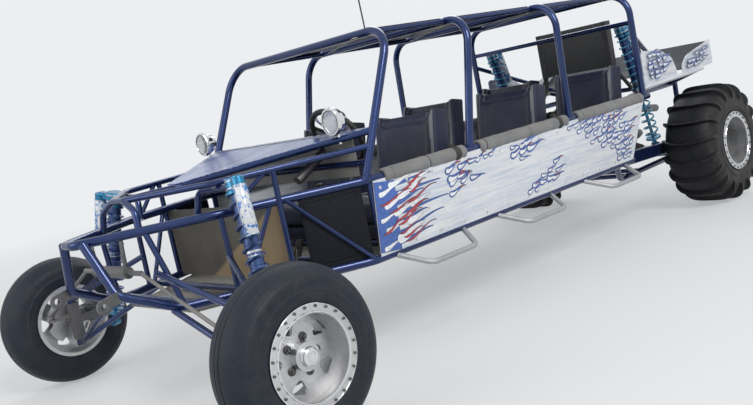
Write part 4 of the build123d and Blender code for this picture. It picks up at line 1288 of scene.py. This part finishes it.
# Rows of licks on a panel: distance behind its front edge, height, how many and head radius
PANEL_ROWS = (
    (0.560, 0.312, 3, 0.0200), (0.545, 0.268, 2, 0.0230),
    (0.560, 0.220, 3, 0.0195), (0.555, 0.172, 1, 0.0200),
    (0.790, 0.318, 3, 0.0170),
    (1.105, 0.318, 3, 0.0185), (1.085, 0.276, 3, 0.0215), (1.180, 0.236, 1, 0.0175),
    (1.205, 0.030, 2, 0.0175), (1.235, 0.070, 4, 0.0190),
    (1.350, 0.112, 3, 0.0200), (1.480, 0.150, 1, 0.0170),
    (1.690, 0.322, 9, 0.0170), (1.790, 0.286, 8, 0.0185),
    (1.880, 0.246, 7, 0.0205), (1.925, 0.204, 6, 0.0200),
    (2.010, 0.162, 5, 0.0190), (2.120, 0.120, 4, 0.0190),
    (2.170, 0.078, 4, 0.0180), (2.185, 0.038, 3, 0.0165),
)
# Rows of licks on the fins: distance behind the front axle, height, how many and head radius
FIN_ROWS = (
    (3.700, 1.150, 3, 0.0160), (3.690, 1.112, 4, 0.0180),
    (3.695, 1.072, 4, 0.0185), (3.695, 1.032, 4, 0.0175),
    (3.700, 0.996, 3, 0.0150),
    (4.520, 1.118, 1, 0.0140), (4.400, 1.084, 3, 0.0150),
    (4.270, 1.050, 5, 0.0160), (4.250, 1.016, 4, 0.0140),
)
# White licks in the blue at a panel's front: distance behind its edge, height, head radius and length
FRONT_DROPS = (
    (0.120, 0.050, 0.0260, 0.230), (0.025, 0.022, 0.0120, 0.120), (0.050, 0.106, 0.0140, 0.150),
    (0.200, 0.118, 0.0180, 0.190), (0.020, 0.160, 0.0110, 0.120), (0.115, 0.176, 0.0150, 0.160),
    (0.235, 0.196, 0.0160, 0.170), (0.055, 0.224, 0.0150, 0.150), (0.150, 0.258, 0.0200, 0.200),
    (0.025, 0.288, 0.0130, 0.130), (0.095, 0.320, 0.0150, 0.180), (0.245, 0.306, 0.0160, 0.170),
)
# Lengths of the tongues at the rear of the blue field, from the lowest to the highest
TONGUE_REACHES = (0.26, 0.36, 0.23, 0.40, 0.22, 0.35, 0.28)
RED_LICKS = 13


def side_flames(chooser):
    """Strokes on one side panel: blue, white and red."""
    heights = [0.003 + 0.0172 * i for i in range(21)]
    field = [Vector((panel_front(up) + 0.072, up)) for up in heights]
    blue, white, red = [], [], []
    for index, reach in enumerate(TONGUE_REACHES):
        up = 0.029 + index * 0.0485
        rise = chooser.uniform(0.0, 0.05)
        blue.append(tongue(panel_front(up) + 0.130, up, reach, rise, 0.0256, chooser.uniform(0.004, 0.010)))
    for at, up, radius, reach in FRONT_DROPS:
        white.append(drop(panel_front(up) + at, up, radius, reach, radius * 1.4, radius * 0.7, 0.99))
    for index in range(RED_LICKS):
        up = 0.024 + index * 0.0235
        at = panel_front(up) + chooser.uniform(0.02, 0.24)
        wide = chooser.uniform(0.0050, 0.0080)
        red.append(lick(at, up, chooser.uniform(0.13, 0.25), chooser.uniform(0.02, 0.055), wide, 0.016))
    for row in PANEL_ROWS:
        for group, made in zip((blue, white, red), cluster(chooser, *row, panel_rear)):
            group += made
    return [(field, [0.070] * len(field))] + held_inside(blue), held_inside(white), held_inside(red)


def fin_flames(chooser):
    """Blue and white strokes on the two fins of one side, from the same edges as the panel."""
    blue, white = [], []
    for at, up, columns, radius in FIN_ROWS:
        end = 4.02 + (1.17 - up) * 0.35 if at < 4.1 else 4.665
        place = (at - PANEL_FRONT, up - PANEL_LOW)
        made = cluster(chooser, *place, columns, radius, lambda height: end - PANEL_FRONT)
        blue += made[0]
        white += made[1]
    return blue, white


def painted(strokes, grow, sign, height):
    """Film of paint in these strokes on one side of the buggy, each wider by the growth."""
    obj = empty_curve()
    obj.data.twist_mode = "Z_UP"
    for index, (points, widths) in enumerate(strokes):
        if grow:
            points = [points[0] - (points[1] - points[0]).normalized() * grow] + points[1:]
        spline = obj.data.splines.new("POLY")
        spline.points.add(len(points) - 1)
        for point, at, width in zip(spline.points, points, widths):
            point.co = (fx(PANEL_FRONT + at.x), PANEL_LOW + at.y, index * 0.000002, 1)
            point.radius = width + grow
            point.tilt = pi / 2
    obj.data.extrude = 1.0
    obj = as_mesh(obj)
    for vertex in obj.data.vertices:
        vertex.co = (vertex.co.x, sign * (height + vertex.co.z), vertex.co.y)
    if obj.data.polygons[0].normal.y * sign < 0:
        flip(obj)
    return obj


class BUGGY_OT_flames(bpy.types.Operator):
    """Painted flames on the side panels and the tail fins"""

    bl_idname = "buggy.flames"
    bl_label = "Flames"

    def execute(self, context):
        flames = context.scene.buggy_flames
        panel_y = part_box("side_panel_left")[1][1]
        fin_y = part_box("tail_fins")[1][1]
        for side, sign in SIDES:
            chooser = random.Random(flames.seed)
            blue, white, red = side_flames(chooser)
            fin_blue, fin_white = fin_flames(chooser)
            for sheet, colour_name, strokes, y, first in (
                ("panel", "blue", blue, panel_y, 1),
                ("panel", "white", white, panel_y, 3),
                ("panel", "red", red, panel_y, 5),
                ("fin", "blue", fin_blue, fin_y, 1),
                ("fin", "white", fin_white, fin_y, 3),
            ):
                for part, grow, layer, finish in (
                    ("line", flames.outline, first, "flame_line"),
                    ("fill", 0, first + 1, f"flame_{colour_name}"),
                ):
                    film = painted(strokes, grow, sign, y + layer * flames.proud)
                    finished([film], f"{sheet}_{colour_name}_{part}_{side}", finish, 30)
        return {"FINISHED"}


# Lamps, steering wheel and dash

LAMP_AT = (fx(0.878), 0.605, 1.195)
# Lamp sections: radius and distance in front of the lamp's place
LENS_SECTION = (
    (0.0, 0.046), (0.02, 0.0455), (0.04, 0.043), (0.055, 0.0375), (0.0595, 0.034), (0.0, 0.033),
)
BEZEL_SECTION = (
    (0.0585, 0.0365), (0.0600, 0.0400), (0.0650, 0.0405), (0.0700, 0.0370), (0.0715, 0.0300),
    (0.0715, 0.0235), (0.0695, 0.0215), (0.0585, 0.0365),
)
WHEEL_AT = (fx(1.065), 0.37, 1.105)
COLUMN_TILT = radians(62)
GRIP_R = 0.165
BINDING_R = 0.0147
BINDING_TURNS = 60
BINDING_POINTS = 420
CAP_SECTION = (
    (0.0, 0.014), (0.018, 0.014), (0.024, 0.011), (0.034, 0.0095), (0.0345, -0.006), (0.0, -0.006),
)


def on_wheel(up, across, out):
    """Point on the steering wheel, with the last distance along the column towards the driver."""
    lean = Vector((-sin(COLUMN_TILT), 0, cos(COLUMN_TILT)))
    rise = Vector((cos(COLUMN_TILT), 0, sin(COLUMN_TILT)))
    return Vector(WHEEL_AT) + Vector((0, across, 0)) + rise * up + lean * out


class BUGGY_OT_lamps(bpy.types.Operator):
    """Headlamp lenses with their bezels"""

    bl_idname = "buggy.lamps"
    bl_label = "Headlamps"

    def execute(self, context):
        x, y, z = LAMP_AT
        paired([x_lathe(LENS_SECTION, LAMP_AT, 48)], "lamp_lens", "lens", 40)
        bezel = [x_lathe(BEZEL_SECTION, LAMP_AT, 48), hex_bolt(0.006, 0.012, (x, y, z - 0.074))]
        paired(bezel, "lamp_bezel", "chrome", 40)
        return {"FINISHED"}


class BUGGY_OT_steering_wheel(bpy.types.Operator):
    """Bound grip, polished spokes and centre cap on the steering wheel"""

    bl_idname = "buggy.steering_wheel"
    bl_label = "Steering Wheel"

    def execute(self, context):
        turns = []
        for i in range(BINDING_POINTS):
            at = 2 * pi * i / BINDING_POINTS
            wind = BINDING_TURNS * at
            r = GRIP_R + BINDING_R * cos(wind)
            turns.append(on_wheel(r * cos(at), r * sin(at), BINDING_R * sin(wind)))
        grip = pipe(turns, 0.0022, False, 2, True)
        finished([grip], "steering_wheel_binding", "rubber", 50, "steering_wheel")
        spokes = ring_of(block((0.118, 0.026, 0.0095), (0.094, 0, 0), 0.002), 3, ORIGIN, "Z", pi / 2)
        cap_bolts = ring_of(hex_bolt(0.0032, 0.004, (0.0275, 0, 0.0125)), 6, ORIGIN, "Z")
        hub = join([spokes, z_lathe(CAP_SECTION, 40), cap_bolts])
        for vertex in hub.data.vertices:
            vertex.co = on_wheel(*vertex.co)
        edit(hub)
        turn_outward()
        finished([hub], "steering_wheel_spokes", "wheel", 35, "steering_wheel")
        return {"FINISHED"}


# Gauges on the dash: Y, Z and radius
GAUGES = (
    (0.20, 1.035, 0.042), (0.31, 1.045, 0.030), (0.46, 1.045, 0.030),
    (0.10, 1.03, 0.026), (0.02, 1.03, 0.026),
)
SWITCHES = 6
# Y of the three pedals
PEDALS = (0.27, 0.37, 0.46)
LEVER_X = fx(1.12)
KNOB_SECTION = ((0.0, 0.0), (0.012, 0.0), (0.021, 0.012), (0.023, 0.024), (0.018, 0.036), (0.0, 0.041))


def gauge(face, y, z, size):
    """Dial with its rim and needle, standing out in front of the dash's face."""
    rim = (
        (0.0, -0.001), (size * 0.86, -0.001), (size * 0.88, -0.010), (size * 0.95, -0.013),
        (size, -0.010), (size, 0.001), (0.0, 0.001),
    )
    at = (face - 0.0035, y - size * 0.2, z + size * 0.12)
    needle = block((0.0012, size * 0.9, 0.0022), at, 0.0004, (radians(-35), 0, 0))
    return [x_lathe(rim, (face, y, z), 40), needle]


class BUGGY_OT_dash(bpy.types.Operator):
    """Round gauges, a row of switches, the pedals and the shift lever"""

    bl_idname = "buggy.dash"
    bl_label = "Dash and Controls"

    def execute(self, context):
        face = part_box("dash")[0][0]
        pieces = []
        for place in GAUGES:
            pieces += gauge(face, *place)
        for i in range(SWITCHES):
            at = (face - 0.007, -0.10 - 0.034 * i, 1.03)
            pieces.append(block((0.016, 0.010, 0.020), at, 0.002, (0, radians(14), 0)))
        finished(pieces, "dash_gauges", "plastic", 35)
        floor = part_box("belly_pan")[1][2]
        pedals = []
        for y in PEDALS:
            pad_at = (fx(0.60), y, floor + 0.150)
            arm = [(fx(0.585), y, floor + 0.150), (fx(0.565), y, floor + 0.08), (fx(0.56), y, floor + 0.001)]
            pedals.append(block((0.010, 0.055, 0.085), pad_at, 0.003, (0, radians(-25), 0)))
            pedals.append(pipe(arm, 0.007))
        pedals.append(block((0.06, 0.26, 0.012), (fx(0.56), 0.365, floor + 0.006)))
        finished(pedals, "pedals", "steel", 40)
        rod = [(LEVER_X, 0, floor + 0.001), (LEVER_X, 0, floor + 0.16), (fx(1.16), 0.01, floor + 0.34)]
        gate = block((0.16, 0.11, 0.06), (LEVER_X, 0, floor + 0.03), 0.012)
        finished([pipe(rod, 0.008), gate], "shift_lever", "steel", 40)
        knob = z_lathe(KNOB_SECTION, 32, Matrix.Translation((fx(1.16), 0.01, floor + 0.335)))
        finished([knob], "shift_knob", "plastic", 50)
        return {"FINISHED"}


# Dark liners outside the footwell, the radiator's core and clamps on the rail

LINER_FRONT = Vector((fx(0.572), 0.5889, 0))
LINER_REAR = Vector((fx(0.846), 0.7110, 0))
LINER_LOW, LINER_HIGH = 0.545, 0.858
RADIATOR_X = fx(3.9)
# Distances of the rail clamps behind the front axle
CLAMPS = (1.545, 2.500)
CLAMP_SECTION = (
    (0.0355, -0.020), (0.0398, -0.020), (0.0410, -0.014), (0.0410, 0.014), (0.0398, 0.020),
    (0.0355, 0.020), (0.0355, -0.020),
)
BUTTON_SECTION = ((0.0, 0.0022), (0.006, 0.0022), (0.0085, 0.0014), (0.0095, 0.0), (0.0, -0.001))


def button(place, outward):
    """Round head of a quarter-turn fastener."""
    turn = Vector(outward).to_track_quat("Z", "Y").to_matrix().to_4x4()
    return z_lathe(BUTTON_SECTION, 14, Matrix.Translation(place) @ turn)


class BUGGY_OT_panels(bpy.types.Operator):
    """Dark footwell liners with rolled edges, radiator core and rail clamps"""

    bl_idname = "buggy.panels"
    bl_label = "Liners and Core"

    def execute(self, context):
        line = LINER_REAR - LINER_FRONT
        out = Vector((line.y, -line.x, 0)).normalized()
        middle = (LINER_FRONT + LINER_REAR) / 2 + out * 0.0022 + Vector((0, 0, (LINER_LOW + LINER_HIGH) / 2))
        size = (line.length, 0.0016, LINER_HIGH - LINER_LOW)
        liner = [block(size, middle, 0.0006, (0, 0, atan2(line.y, line.x)))]
        for z in (LINER_LOW + 0.006, LINER_HIGH - 0.006):
            ends = [end + out * 0.004 + Vector((0, 0, z)) for end in (LINER_FRONT, LINER_REAR)]
            liner.append(pipe(ends, 0.0032, False, 3))
        for share in (0.06, 0.5, 0.94):
            for z in (LINER_LOW + 0.022, LINER_HIGH - 0.022):
                liner.append(button(LINER_FRONT + line * share + out * 0.003 + Vector((0, 0, z)), out))
        paired(liner, "footwell_liner", "footwell", 35)
        core = block((0.030, 0.546, 0.336), (RADIATOR_X + 0.0135, 0, 1.29), 0.002)
        finished([core], "radiator_core", "core", 35)
        clamps = []
        for at in CLAMPS:
            clamps.append(x_lathe(CLAMP_SECTION, (fx(at), RAIL_Y, BELT_Z), 40))
            clamps.append(block((0.030, 0.026, 0.018), (fx(at), RAIL_Y - 0.012, BELT_Z + 0.044)))
            clamps.append(hex_bolt(0.006, 0.030, (fx(at), RAIL_Y - 0.012, BELT_Z + 0.050)))
        paired(clamps, "rail_clamps", "rubber", 40)
        return {"FINISHED"}


# Straps under the roof, fasteners and welds

# Two ends of each strap: distance behind the front axle and Y
ROOF_STRAPS = (
    ((1.70, -0.30), (1.21, 0.50)), ((2.58, -0.44), (1.92, 0.48)), ((3.47, -0.48), (2.80, 0.44)),
)
STRAP_Z = 1.588


class BUGGY_OT_straps(bpy.types.Operator):
    """Pale straps stretched under the roof sheets"""

    bl_idname = "buggy.straps"
    bl_label = "Roof Straps"

    def execute(self, context):
        for index, ends in enumerate(ROOF_STRAPS, 1):
            start, end = (Vector((fx(at), y, STRAP_Z)) for at, y in ends)
            line = end - start
            turn = (0, 0, atan2(line.y, line.x))
            strap = block((line.length, 0.028, 0.0025), (start + end) / 2, 0.0008, turn)
            finished([strap], f"roof_strap_{index}", "strap", 35)
        return {"FINISHED"}


# Rows of buttons on a panel: first one behind the front axle, spacing, how many and Z
BUTTON_ROWS = ((0.935, 0.19, 13, 0.528), (0.955, 0.188, 14, 0.835))
HOOD_FRONT = 0.270
HOOD_FRONT_TOP = 1.0535
HOOD_RISE = 0.080
HOOD_LENGTH = 0.728


class BUGGY_OT_fasteners(bpy.types.Operator):
    """Quarter-turn buttons round the panels and the hood"""

    bl_idname = "buggy.fasteners"
    bl_label = "Fasteners"

    def execute(self, context):
        panel_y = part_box("side_panel_left")[1][1]
        rows = []
        for first, spacing, count, z in BUTTON_ROWS:
            rows += [button((fx(first + i * spacing), panel_y, z), (0, 1, 0)) for i in range(count)]
        paired(rows, "panel_buttons", "wheel", 40)
        slope = atan2(HOOD_RISE, HOOD_LENGTH)
        normal = (sin(slope), 0, cos(slope))
        edge = [(0.02 + 0.17 * i, 0.035 + 0.151 * i) for i in range(5)]
        tops = []
        for back, y in edge + [(0.71, 0.32), (0.71, 0.0)]:
            x = fx(HOOD_FRONT) - back * cos(slope)
            z = HOOD_FRONT_TOP + back * sin(slope)
            for sign in (1, -1) if y else (1,):
                tops.append(button((x, sign * y, z), normal))
        finished(tops, "hood_buttons", "wheel", 40)
        return {"FINISHED"}


# Distances of each hoop's foot and top behind the front axle, and of the posts
HOOP_LINES = ((0.888, 1.247), (1.678, 1.865), (2.645, 2.680), (3.545, 3.545))
HOOP_HEIGHT = 0.72
POSTS = (0.908, 1.688, 2.655)
POST_R = 0.0165
BEAD_POINTS = 28


def weld(place, axis, radius, chooser):
    """Rippled bead round a tube where it meets another."""
    turn = Vector(axis).to_track_quat("Z", "Y").to_matrix()
    points = []
    for i in range(BEAD_POINTS):
        at = 2 * pi * i / BEAD_POINTS
        r = radius + chooser.uniform(-0.0006, 0.0010)
        offset = Vector((r * cos(at), r * sin(at), chooser.uniform(-0.0008, 0.0008)))
        points.append(Vector(place) + turn @ offset)
    return pipe(points, 0.0028, False, 2, True)


class BUGGY_OT_welds(bpy.types.Operator):
    """Weld beads at the feet of the hoops and posts"""

    bl_idname = "buggy.welds"
    bl_label = "Welds"

    def execute(self, context):
        chooser = random.Random(3)
        beads = []
        for foot, top in HOOP_LINES:
            lean = Vector((foot - top, 0, HOOP_HEIGHT)).normalized()
            place = Vector((fx(foot), RAIL_Y, BELT_Z)) + lean * (0.0235 / lean.z)
            beads.append(weld(place, lean, TUBE_R, chooser))
        for distance in POSTS:
            for z in (BELT_Z - TUBE_R, LOWER_Z + TUBE_R):
                beads.append(weld((fx(distance), RAIL_Y, z), (0, 0, 1), POST_R, chooser))
        paired(beads, "welds", "frame", 60)
        return {"FINISHED"}


# Shocks, engine dressing and drive boots

# Foot, top and the way to the reservoir
FRONT_SHOCK = ((fx(0.146), 0.8, 0.325), (fx(0.235), 0.6, 1.05), (0.4, 0.92, 0))
REAR_SHOCK = ((fx(3.850), 0.577, 0.5), (fx(3.612), 0.585, 1.404), (-1, 0.1, 0))
RESERVOIR_OUT = 0.096
RESERVOIR_R = 0.031
DAMPER_R = 0.034
DAMPER_RIBS = 9


def shock_place(foot, top, side):
    """Matrix at the shock's foot, with Z up the shock and X towards its reservoir."""
    up = (Vector(top) - Vector(foot)).normalized()
    out = (Vector(side) - up * Vector(side).dot(up)).normalized()
    turn = Matrix((out, up.cross(out), up)).transposed().to_4x4()
    return Matrix.Translation(foot) @ turn


def shock_bands(long, beside, place, low, high):
    """Clamps at both ends of the reservoir's sleeve, adjuster rings and spring nuts."""
    r = RESERVOIR_R
    bands = []
    for foot in (low - 0.004, high - 0.002):
        top = foot + 0.006
        clamp = ((r, foot), (r + 0.0024, foot + 0.0015), (r + 0.0024, top - 0.0015), (r, top), (r, foot))
        bands.append(z_lathe(clamp, 40, beside))
    for at in (long - 0.018, long - 0.052):
        ring = ((0.0452, at), (0.0470, at + 0.002), (0.0470, at + 0.006), (0.0452, at + 0.008), (0.0452, at))
        bands.append(z_lathe(ring, 40, place))
    for at in (long * 0.52, long * 0.52 + 0.016):
        nut = ((0.0342, at), (0.0366, at), (0.0366, at + 0.010), (0.0342, at + 0.010), (0.0342, at))
        bands.append(z_lathe(nut, 12, place))
    return bands


def damper_section(low, high):
    """Ribbed sleeve round the damper's body."""
    section = [(DAMPER_R, low)]
    for i in range(DAMPER_RIBS):
        at = low + 0.006 + i * (high - low - 0.012) / (DAMPER_RIBS - 1)
        section += [(0.0352, at - 0.004), (0.0364, at - 0.002), (0.0364, at + 0.002), (0.0352, at + 0.004)]
    return section + [(DAMPER_R, high), (0.0335, high), (0.0335, low), (DAMPER_R, low)]


class BUGGY_OT_shocks(bpy.types.Operator):
    """Reservoir and damper sleeves, adjuster collars and clamps on the shocks"""

    bl_idname = "buggy.shocks"
    bl_label = "Shocks"

    def execute(self, context):
        r = RESERVOIR_R
        for end, (foot, top, side) in (("front", FRONT_SHOCK), ("rear", REAR_SHOCK)):
            place = shock_place(foot, top, side)
            beside = place @ Matrix.Translation((RESERVOIR_OUT, 0, 0))
            long = (Vector(top) - Vector(foot)).length
            low, high = long - 0.282, long - 0.060
            section = (
                (r, low), (r + 0.0014, low + 0.002), (r + 0.0014, high - 0.002),
                (r, high), (r - 0.002, high), (r - 0.002, low), (r, low),
            )
            tube = [z_lathe(section, 40, beside)]
            paired(tube, f"{end}_reservoir_sleeve", "reservoir", 40)
            bands = shock_bands(long, beside, place, low, high)
            paired(bands, f"{end}_shock_bands", "spring", 30)
            body = [z_lathe(damper_section(long * 0.4, long - 0.0745), 40, place)]
            paired(body, f"{end}_damper_sleeve", "spring_blue", 30)
        return {"FINISHED"}


ENGINE_X = fx(3.8)
# Distances from the engine's middle along X of the exhaust ports and of the cover's bolts
PORTS = (-0.115, 0.0, 0.115)
COVER_BOLTS = (-0.16, -0.055, 0.055, 0.16)
COVER_TILT = radians(32)
HEADER_END = (ENGINE_X - 0.30, 0.255)
COLLECTOR_Z = 0.56
COLLECTOR_SECTION = (
    (0.020, 0.03), (0.040, 0.0), (0.040, -0.06), (0.026, -0.11), (0.022, -0.11), (0.020, 0.03),
)
BELT_X = ENGINE_X + 0.212
# Y and Z of the engine belt round its pulleys
BELT_LINE = (
    (0.0, 0.414), (0.075, 0.45), (0.088, 0.52), (0.190, 0.57), (0.195, 0.625), (0.15, 0.648),
    (0.05, 0.745), (0.0, 0.752), (-0.05, 0.742), (-0.19, 0.690), (-0.218, 0.64), (-0.19, 0.595),
    (-0.088, 0.50), (-0.06, 0.43),
)
PLEATS = 144
FILTER_AT = (ENGINE_X - 0.09, 0, 1.010)
# Side of each coolant hose and its end on the engine
HOSE_ENDS = ((1, (ENGINE_X + 0.19, 0.10, 0.70)), (-1, (ENGINE_X + 0.19, -0.12, 0.56)))


def pleated_wall():
    """Ring of pleats for the air filter."""
    deselect()
    bpy.ops.mesh.primitive_circle_add(vertices=PLEATS, radius=0.106, location=(0, 0, -0.036))
    wall = bpy.context.object
    for i, vertex in enumerate(wall.data.vertices):
        at = 2 * pi * i / PLEATS
        r = 0.1060 if i % 2 else 0.1095
        vertex.co = (r * cos(at), r * sin(at), 0)
    edit(wall)
    bpy.ops.mesh.extrude_region_move(TRANSFORM_OT_translate={"value": (0, 0, 0.072)})
    leave()
    bpy.ops.object.transform_apply(location=True, rotation=True, scale=True)
    modified(wall, "SOLIDIFY", thickness=0.002)
    wall.data.transform(Matrix.Translation(FILTER_AT))
    return wall


class BUGGY_OT_engine(bpy.types.Operator):
    """Headers, plug leads, belt, cover bolts, filter pleats and coolant hoses"""

    bl_idname = "buggy.engine"
    bl_label = "Engine"

    def execute(self, context):
        headers, leads, bolts = [], [], []
        end_x, end_y = HEADER_END
        for sign in (1, -1):
            for x in PORTS:
                at = ENGINE_X + x
                header = [
                    (at, sign * 0.205, 0.690), (at, sign * 0.275, 0.665), (at - 0.03, sign * 0.290, 0.60),
                    (ENGINE_X - 0.20, sign * 0.270, 0.55), (end_x, sign * end_y, COLLECTOR_Z),
                ]
                lead = [
                    (at, sign * 0.20, 0.76), (at + 0.01, sign * 0.235, 0.80),
                    (ENGINE_X + 0.15, sign * 0.19, 0.875), (ENGINE_X + 0.18, sign * 0.06, 0.86),
                ]
                headers.append(pipe(header, 0.018))
                leads.append(pipe(lead, 0.0042, resolution=2))
            cover = Matrix.Translation((0, sign * 0.09, 0.64)) @ Matrix.Rotation(-sign * COVER_TILT, 4, "X")
            for x in COVER_BOLTS:
                for across in (-0.042, 0.042):
                    bolt = hex_bolt(0.006, 0.008, (ENGINE_X + x, 0, 0))
                    bolt.data.transform(cover @ Matrix.Translation((0, across, 0.233)))
                    bolts.append(bolt)
            headers.append(x_lathe(COLLECTOR_SECTION, (end_x, sign * end_y, COLLECTOR_Z), 32))
        leads.append(block((0.05, 0.12, 0.05), (ENGINE_X + 0.185, 0, 0.86), 0.006))
        belt = pipe([(BELT_X, y, z) for y, z in BELT_LINE], 0.006, True, 2, True)
        hoses = []
        for sign, end in HOSE_ENDS:
            line = [
                (RADIATOR_X + 0.020, sign * 0.297, 1.125), (RADIATOR_X + 0.020, sign * 0.297, 1.06),
                (fx(3.80), sign * 0.30, 0.96), (fx(3.62), sign * 0.25, 0.84),
                (fx(3.585), end[1], end[2] + 0.03), end,
            ]
            hoses.append(pipe(line, 0.019))
        for pieces, name, finish, angle, slot_name in (
            (headers, "headers", "steel", 50, "steel_grey"),
            (leads, "plug_leads", "rubber", 50, "black_plastic"),
            (bolts, "cover_bolts", "bolt", 30, "steel_grey"),
            ([belt], "engine_belt", "rubber", 50, "black_plastic"),
            ([pleated_wall()], "filter_pleats", "filter", 20, "engine_dark"),
            (hoses, "coolant_hoses", "rubber", 50, "black_plastic"),
        ):
            finished(pieces, name, finish, angle)
        return {"FINISHED"}


# Y from which the boot's section is measured inwards
BOOT_END = 0.455
BOOT_RIBS = 7


class BUGGY_OT_boots(bpy.types.Operator):
    """Ribbed rubber boots on the halfshafts"""

    bl_idname = "buggy.boots"
    bl_label = "Drive Boots"

    def execute(self, context):
        section = [(0.0245, 0.17)]
        for i in range(BOOT_RIBS):
            grow = 0.030 + 0.0045 * i
            section += [(grow + 0.006, 0.178 + 0.012 * i), (grow, 0.184 + 0.012 * i)]
        section += [(0.062, 0.262), (0.062, 0.285), (0.0245, 0.285), (0.0245, 0.17)]
        boot = wheel_lathe([(r, BOOT_END - y) for r, y in section], (REAR_AXLE, 0, REAR_WHEEL[2]), 48)
        paired([boot], "drive_boot", "rubber", 50, "rear_wheel_{}")
        return {"FINISHED"}


# Stage


def soft_lamp(name, place, target, size, watts):
    """Square lamp that looks at the target."""
    deselect()
    aim = (Vector(target) - Vector(place)).to_track_quat("-Z", "Y").to_euler()
    bpy.ops.object.light_add(type="AREA", location=place, rotation=aim)
    lamp = bpy.context.object
    lamp.name = name
    lamp.data.size = size
    lamp.data.energy = watts


PALE = (0.84, 0.86, 0.88)
# Place, target, size and watts of each soft lamp
LAMPS = {
    "key_lamp": ((2.5, 7.5, 7.5), (0.2, 0, 0.6), 3.5, 560),
    "fill_lamp": ((8.5, -1.5, 4.5), (0.5, 0, 0.6), 5.0, 180),
    "back_lamp": ((-7.0, -5.0, 7.0), (-0.5, 0, 0.8), 5.0, 260),
}
# The photograph's camera, solved from pairs of points on the left and the right
CAMERA_AT = (3.9673, 3.8109, 1.3027)
CAMERA_TURN = (radians(82.446), radians(11.6), radians(136.941))
CAMERA_LENS = 40.55


def seen_directly(tree):
    """1 for rays from the camera, from gloss and through glass."""
    path = add(tree, "ShaderNodeLightPath")
    seen = maths(tree, "MAXIMUM", path.outputs["Is Camera Ray"], path.outputs["Is Glossy Ray"])
    return maths(tree, "MAXIMUM", seen, path.outputs["Is Transmission Ray"])


def floor_finish():
    """Pale floor that fades into the backdrop and keeps the shadow."""
    material, tree, shader = new_finish("floor", Roughness=0.9)
    place = own_place(tree)
    tone = noise(tree, place, 0.5, 2.0)
    feed(tree, shader.inputs["Base Color"], mixed(tree, tone, (0.74, 0.74, 0.73), (0.78, 0.78, 0.77)))
    far = add(tree, "ShaderNodeVectorMath", operation="LENGTH")
    feed(tree, far.inputs[0], place)
    share = remap(tree, far.outputs["Value"], 3.5, 11.0, 0.45, 1.0)
    glow = add(tree, "ShaderNodeEmission")
    glow.inputs["Color"].default_value = (*PALE, 1)
    blend = add(tree, "ShaderNodeMixShader")
    feed(tree, blend.inputs[0], times(tree, share, seen_directly(tree)))
    feed(tree, blend.inputs[1], shader.outputs[0])
    feed(tree, blend.inputs[2], glow.outputs[0])
    feed(tree, tree.nodes["Material Output"].inputs["Surface"], blend.outputs[0])
    return material


def backdrop(world):
    """Soft light from all round, and a pale backdrop for what is seen directly."""
    world.use_nodes = True
    tree = world.node_tree
    soft = tree.nodes["Background"]
    soft.inputs["Color"].default_value = (0.86, 0.89, 0.93, 1)
    soft.inputs["Strength"].default_value = 0.42
    pale = add(tree, "ShaderNodeBackground")
    pale.inputs["Color"].default_value = (*PALE, 1)
    blend = add(tree, "ShaderNodeMixShader")
    feed(tree, blend.inputs[0], seen_directly(tree))
    feed(tree, blend.inputs[1], soft.outputs[0])
    feed(tree, blend.inputs[2], pale.outputs[0])
    feed(tree, tree.nodes["World Output"].inputs["Surface"], blend.outputs[0])


class BUGGY_OT_stage(bpy.types.Operator):
    """Pale floor, soft lamps and the camera at the photograph's angle"""

    bl_idname = "buggy.stage"
    bl_label = "Stage"

    def execute(self, context):
        deselect()
        bpy.ops.mesh.primitive_plane_add(size=120)
        floor = context.object
        floor.name = "floor"
        floor.data.materials.append(floor_finish())
        for name, settings in LAMPS.items():
            soft_lamp(name, *settings)
        world = bpy.data.worlds.new("studio")
        context.scene.world = world
        backdrop(world)
        bpy.ops.object.camera_add(location=CAMERA_AT, rotation=CAMERA_TURN)
        camera = context.object
        camera.name = "photo_camera"
        camera.data.sensor_width = 36
        camera.data.lens = CAMERA_LENS
        camera.data.clip_end = 300
        context.scene.camera = camera
        context.scene.view_settings.view_transform = "Standard"
        return {"FINISHED"}


class BUGGY_PT_sidebar(bpy.types.Panel):
    """Lists the steps in the 3D view's sidebar"""

    bl_idname = "BUGGY_PT_sidebar"
    bl_label = "Dune Buggy"
    bl_space_type = "VIEW_3D"
    bl_region_type = "UI"
    bl_category = "Buggy"

    def draw(self, context):
        for group in SETTINGS:
            settings = getattr(context.scene, group)
            for key in settings.bl_rna.properties.keys()[1:]:
                if key != "name":
                    self.layout.prop(settings, key)
        for step in STEPS:
            self.layout.operator(step.bl_idname)


STEPS = (
    BUGGY_OT_frame,
    BUGGY_OT_tyres,
    BUGGY_OT_rims,
    BUGGY_OT_seats,
    BUGGY_OT_sleeves,
    BUGGY_OT_flames,
    BUGGY_OT_lamps,
    BUGGY_OT_steering_wheel,
    BUGGY_OT_dash,
    BUGGY_OT_panels,
    BUGGY_OT_straps,
    BUGGY_OT_fasteners,
    BUGGY_OT_welds,
    BUGGY_OT_shocks,
    BUGGY_OT_engine,
    BUGGY_OT_boots,
    BUGGY_OT_stage,
)
SETTINGS = {
    "buggy_paint": BuggyPaint,
    "buggy_wheels": BuggyWheels,
    "buggy_seats": BuggySeats,
    "buggy_flames": BuggyFlames,
}


def register():
    for kind in (*SETTINGS.values(), *STEPS, BUGGY_PT_sidebar):
        bpy.utils.register_class(kind)
    for key, kind in SETTINGS.items():
        setattr(bpy.types.Scene, key, bpy.props.PointerProperty(type=kind))


def unregister():
    for key in SETTINGS:
        delattr(bpy.types.Scene, key)
    for kind in (BUGGY_PT_sidebar, *reversed(STEPS), *SETTINGS.values()):
        bpy.utils.unregister_class(kind)


def main():
    register()
    for step in STEPS:
        group, name = step.bl_idname.split(".")
        getattr(getattr(bpy.ops, group), name)()


if __name__ == "__main__":
    main()
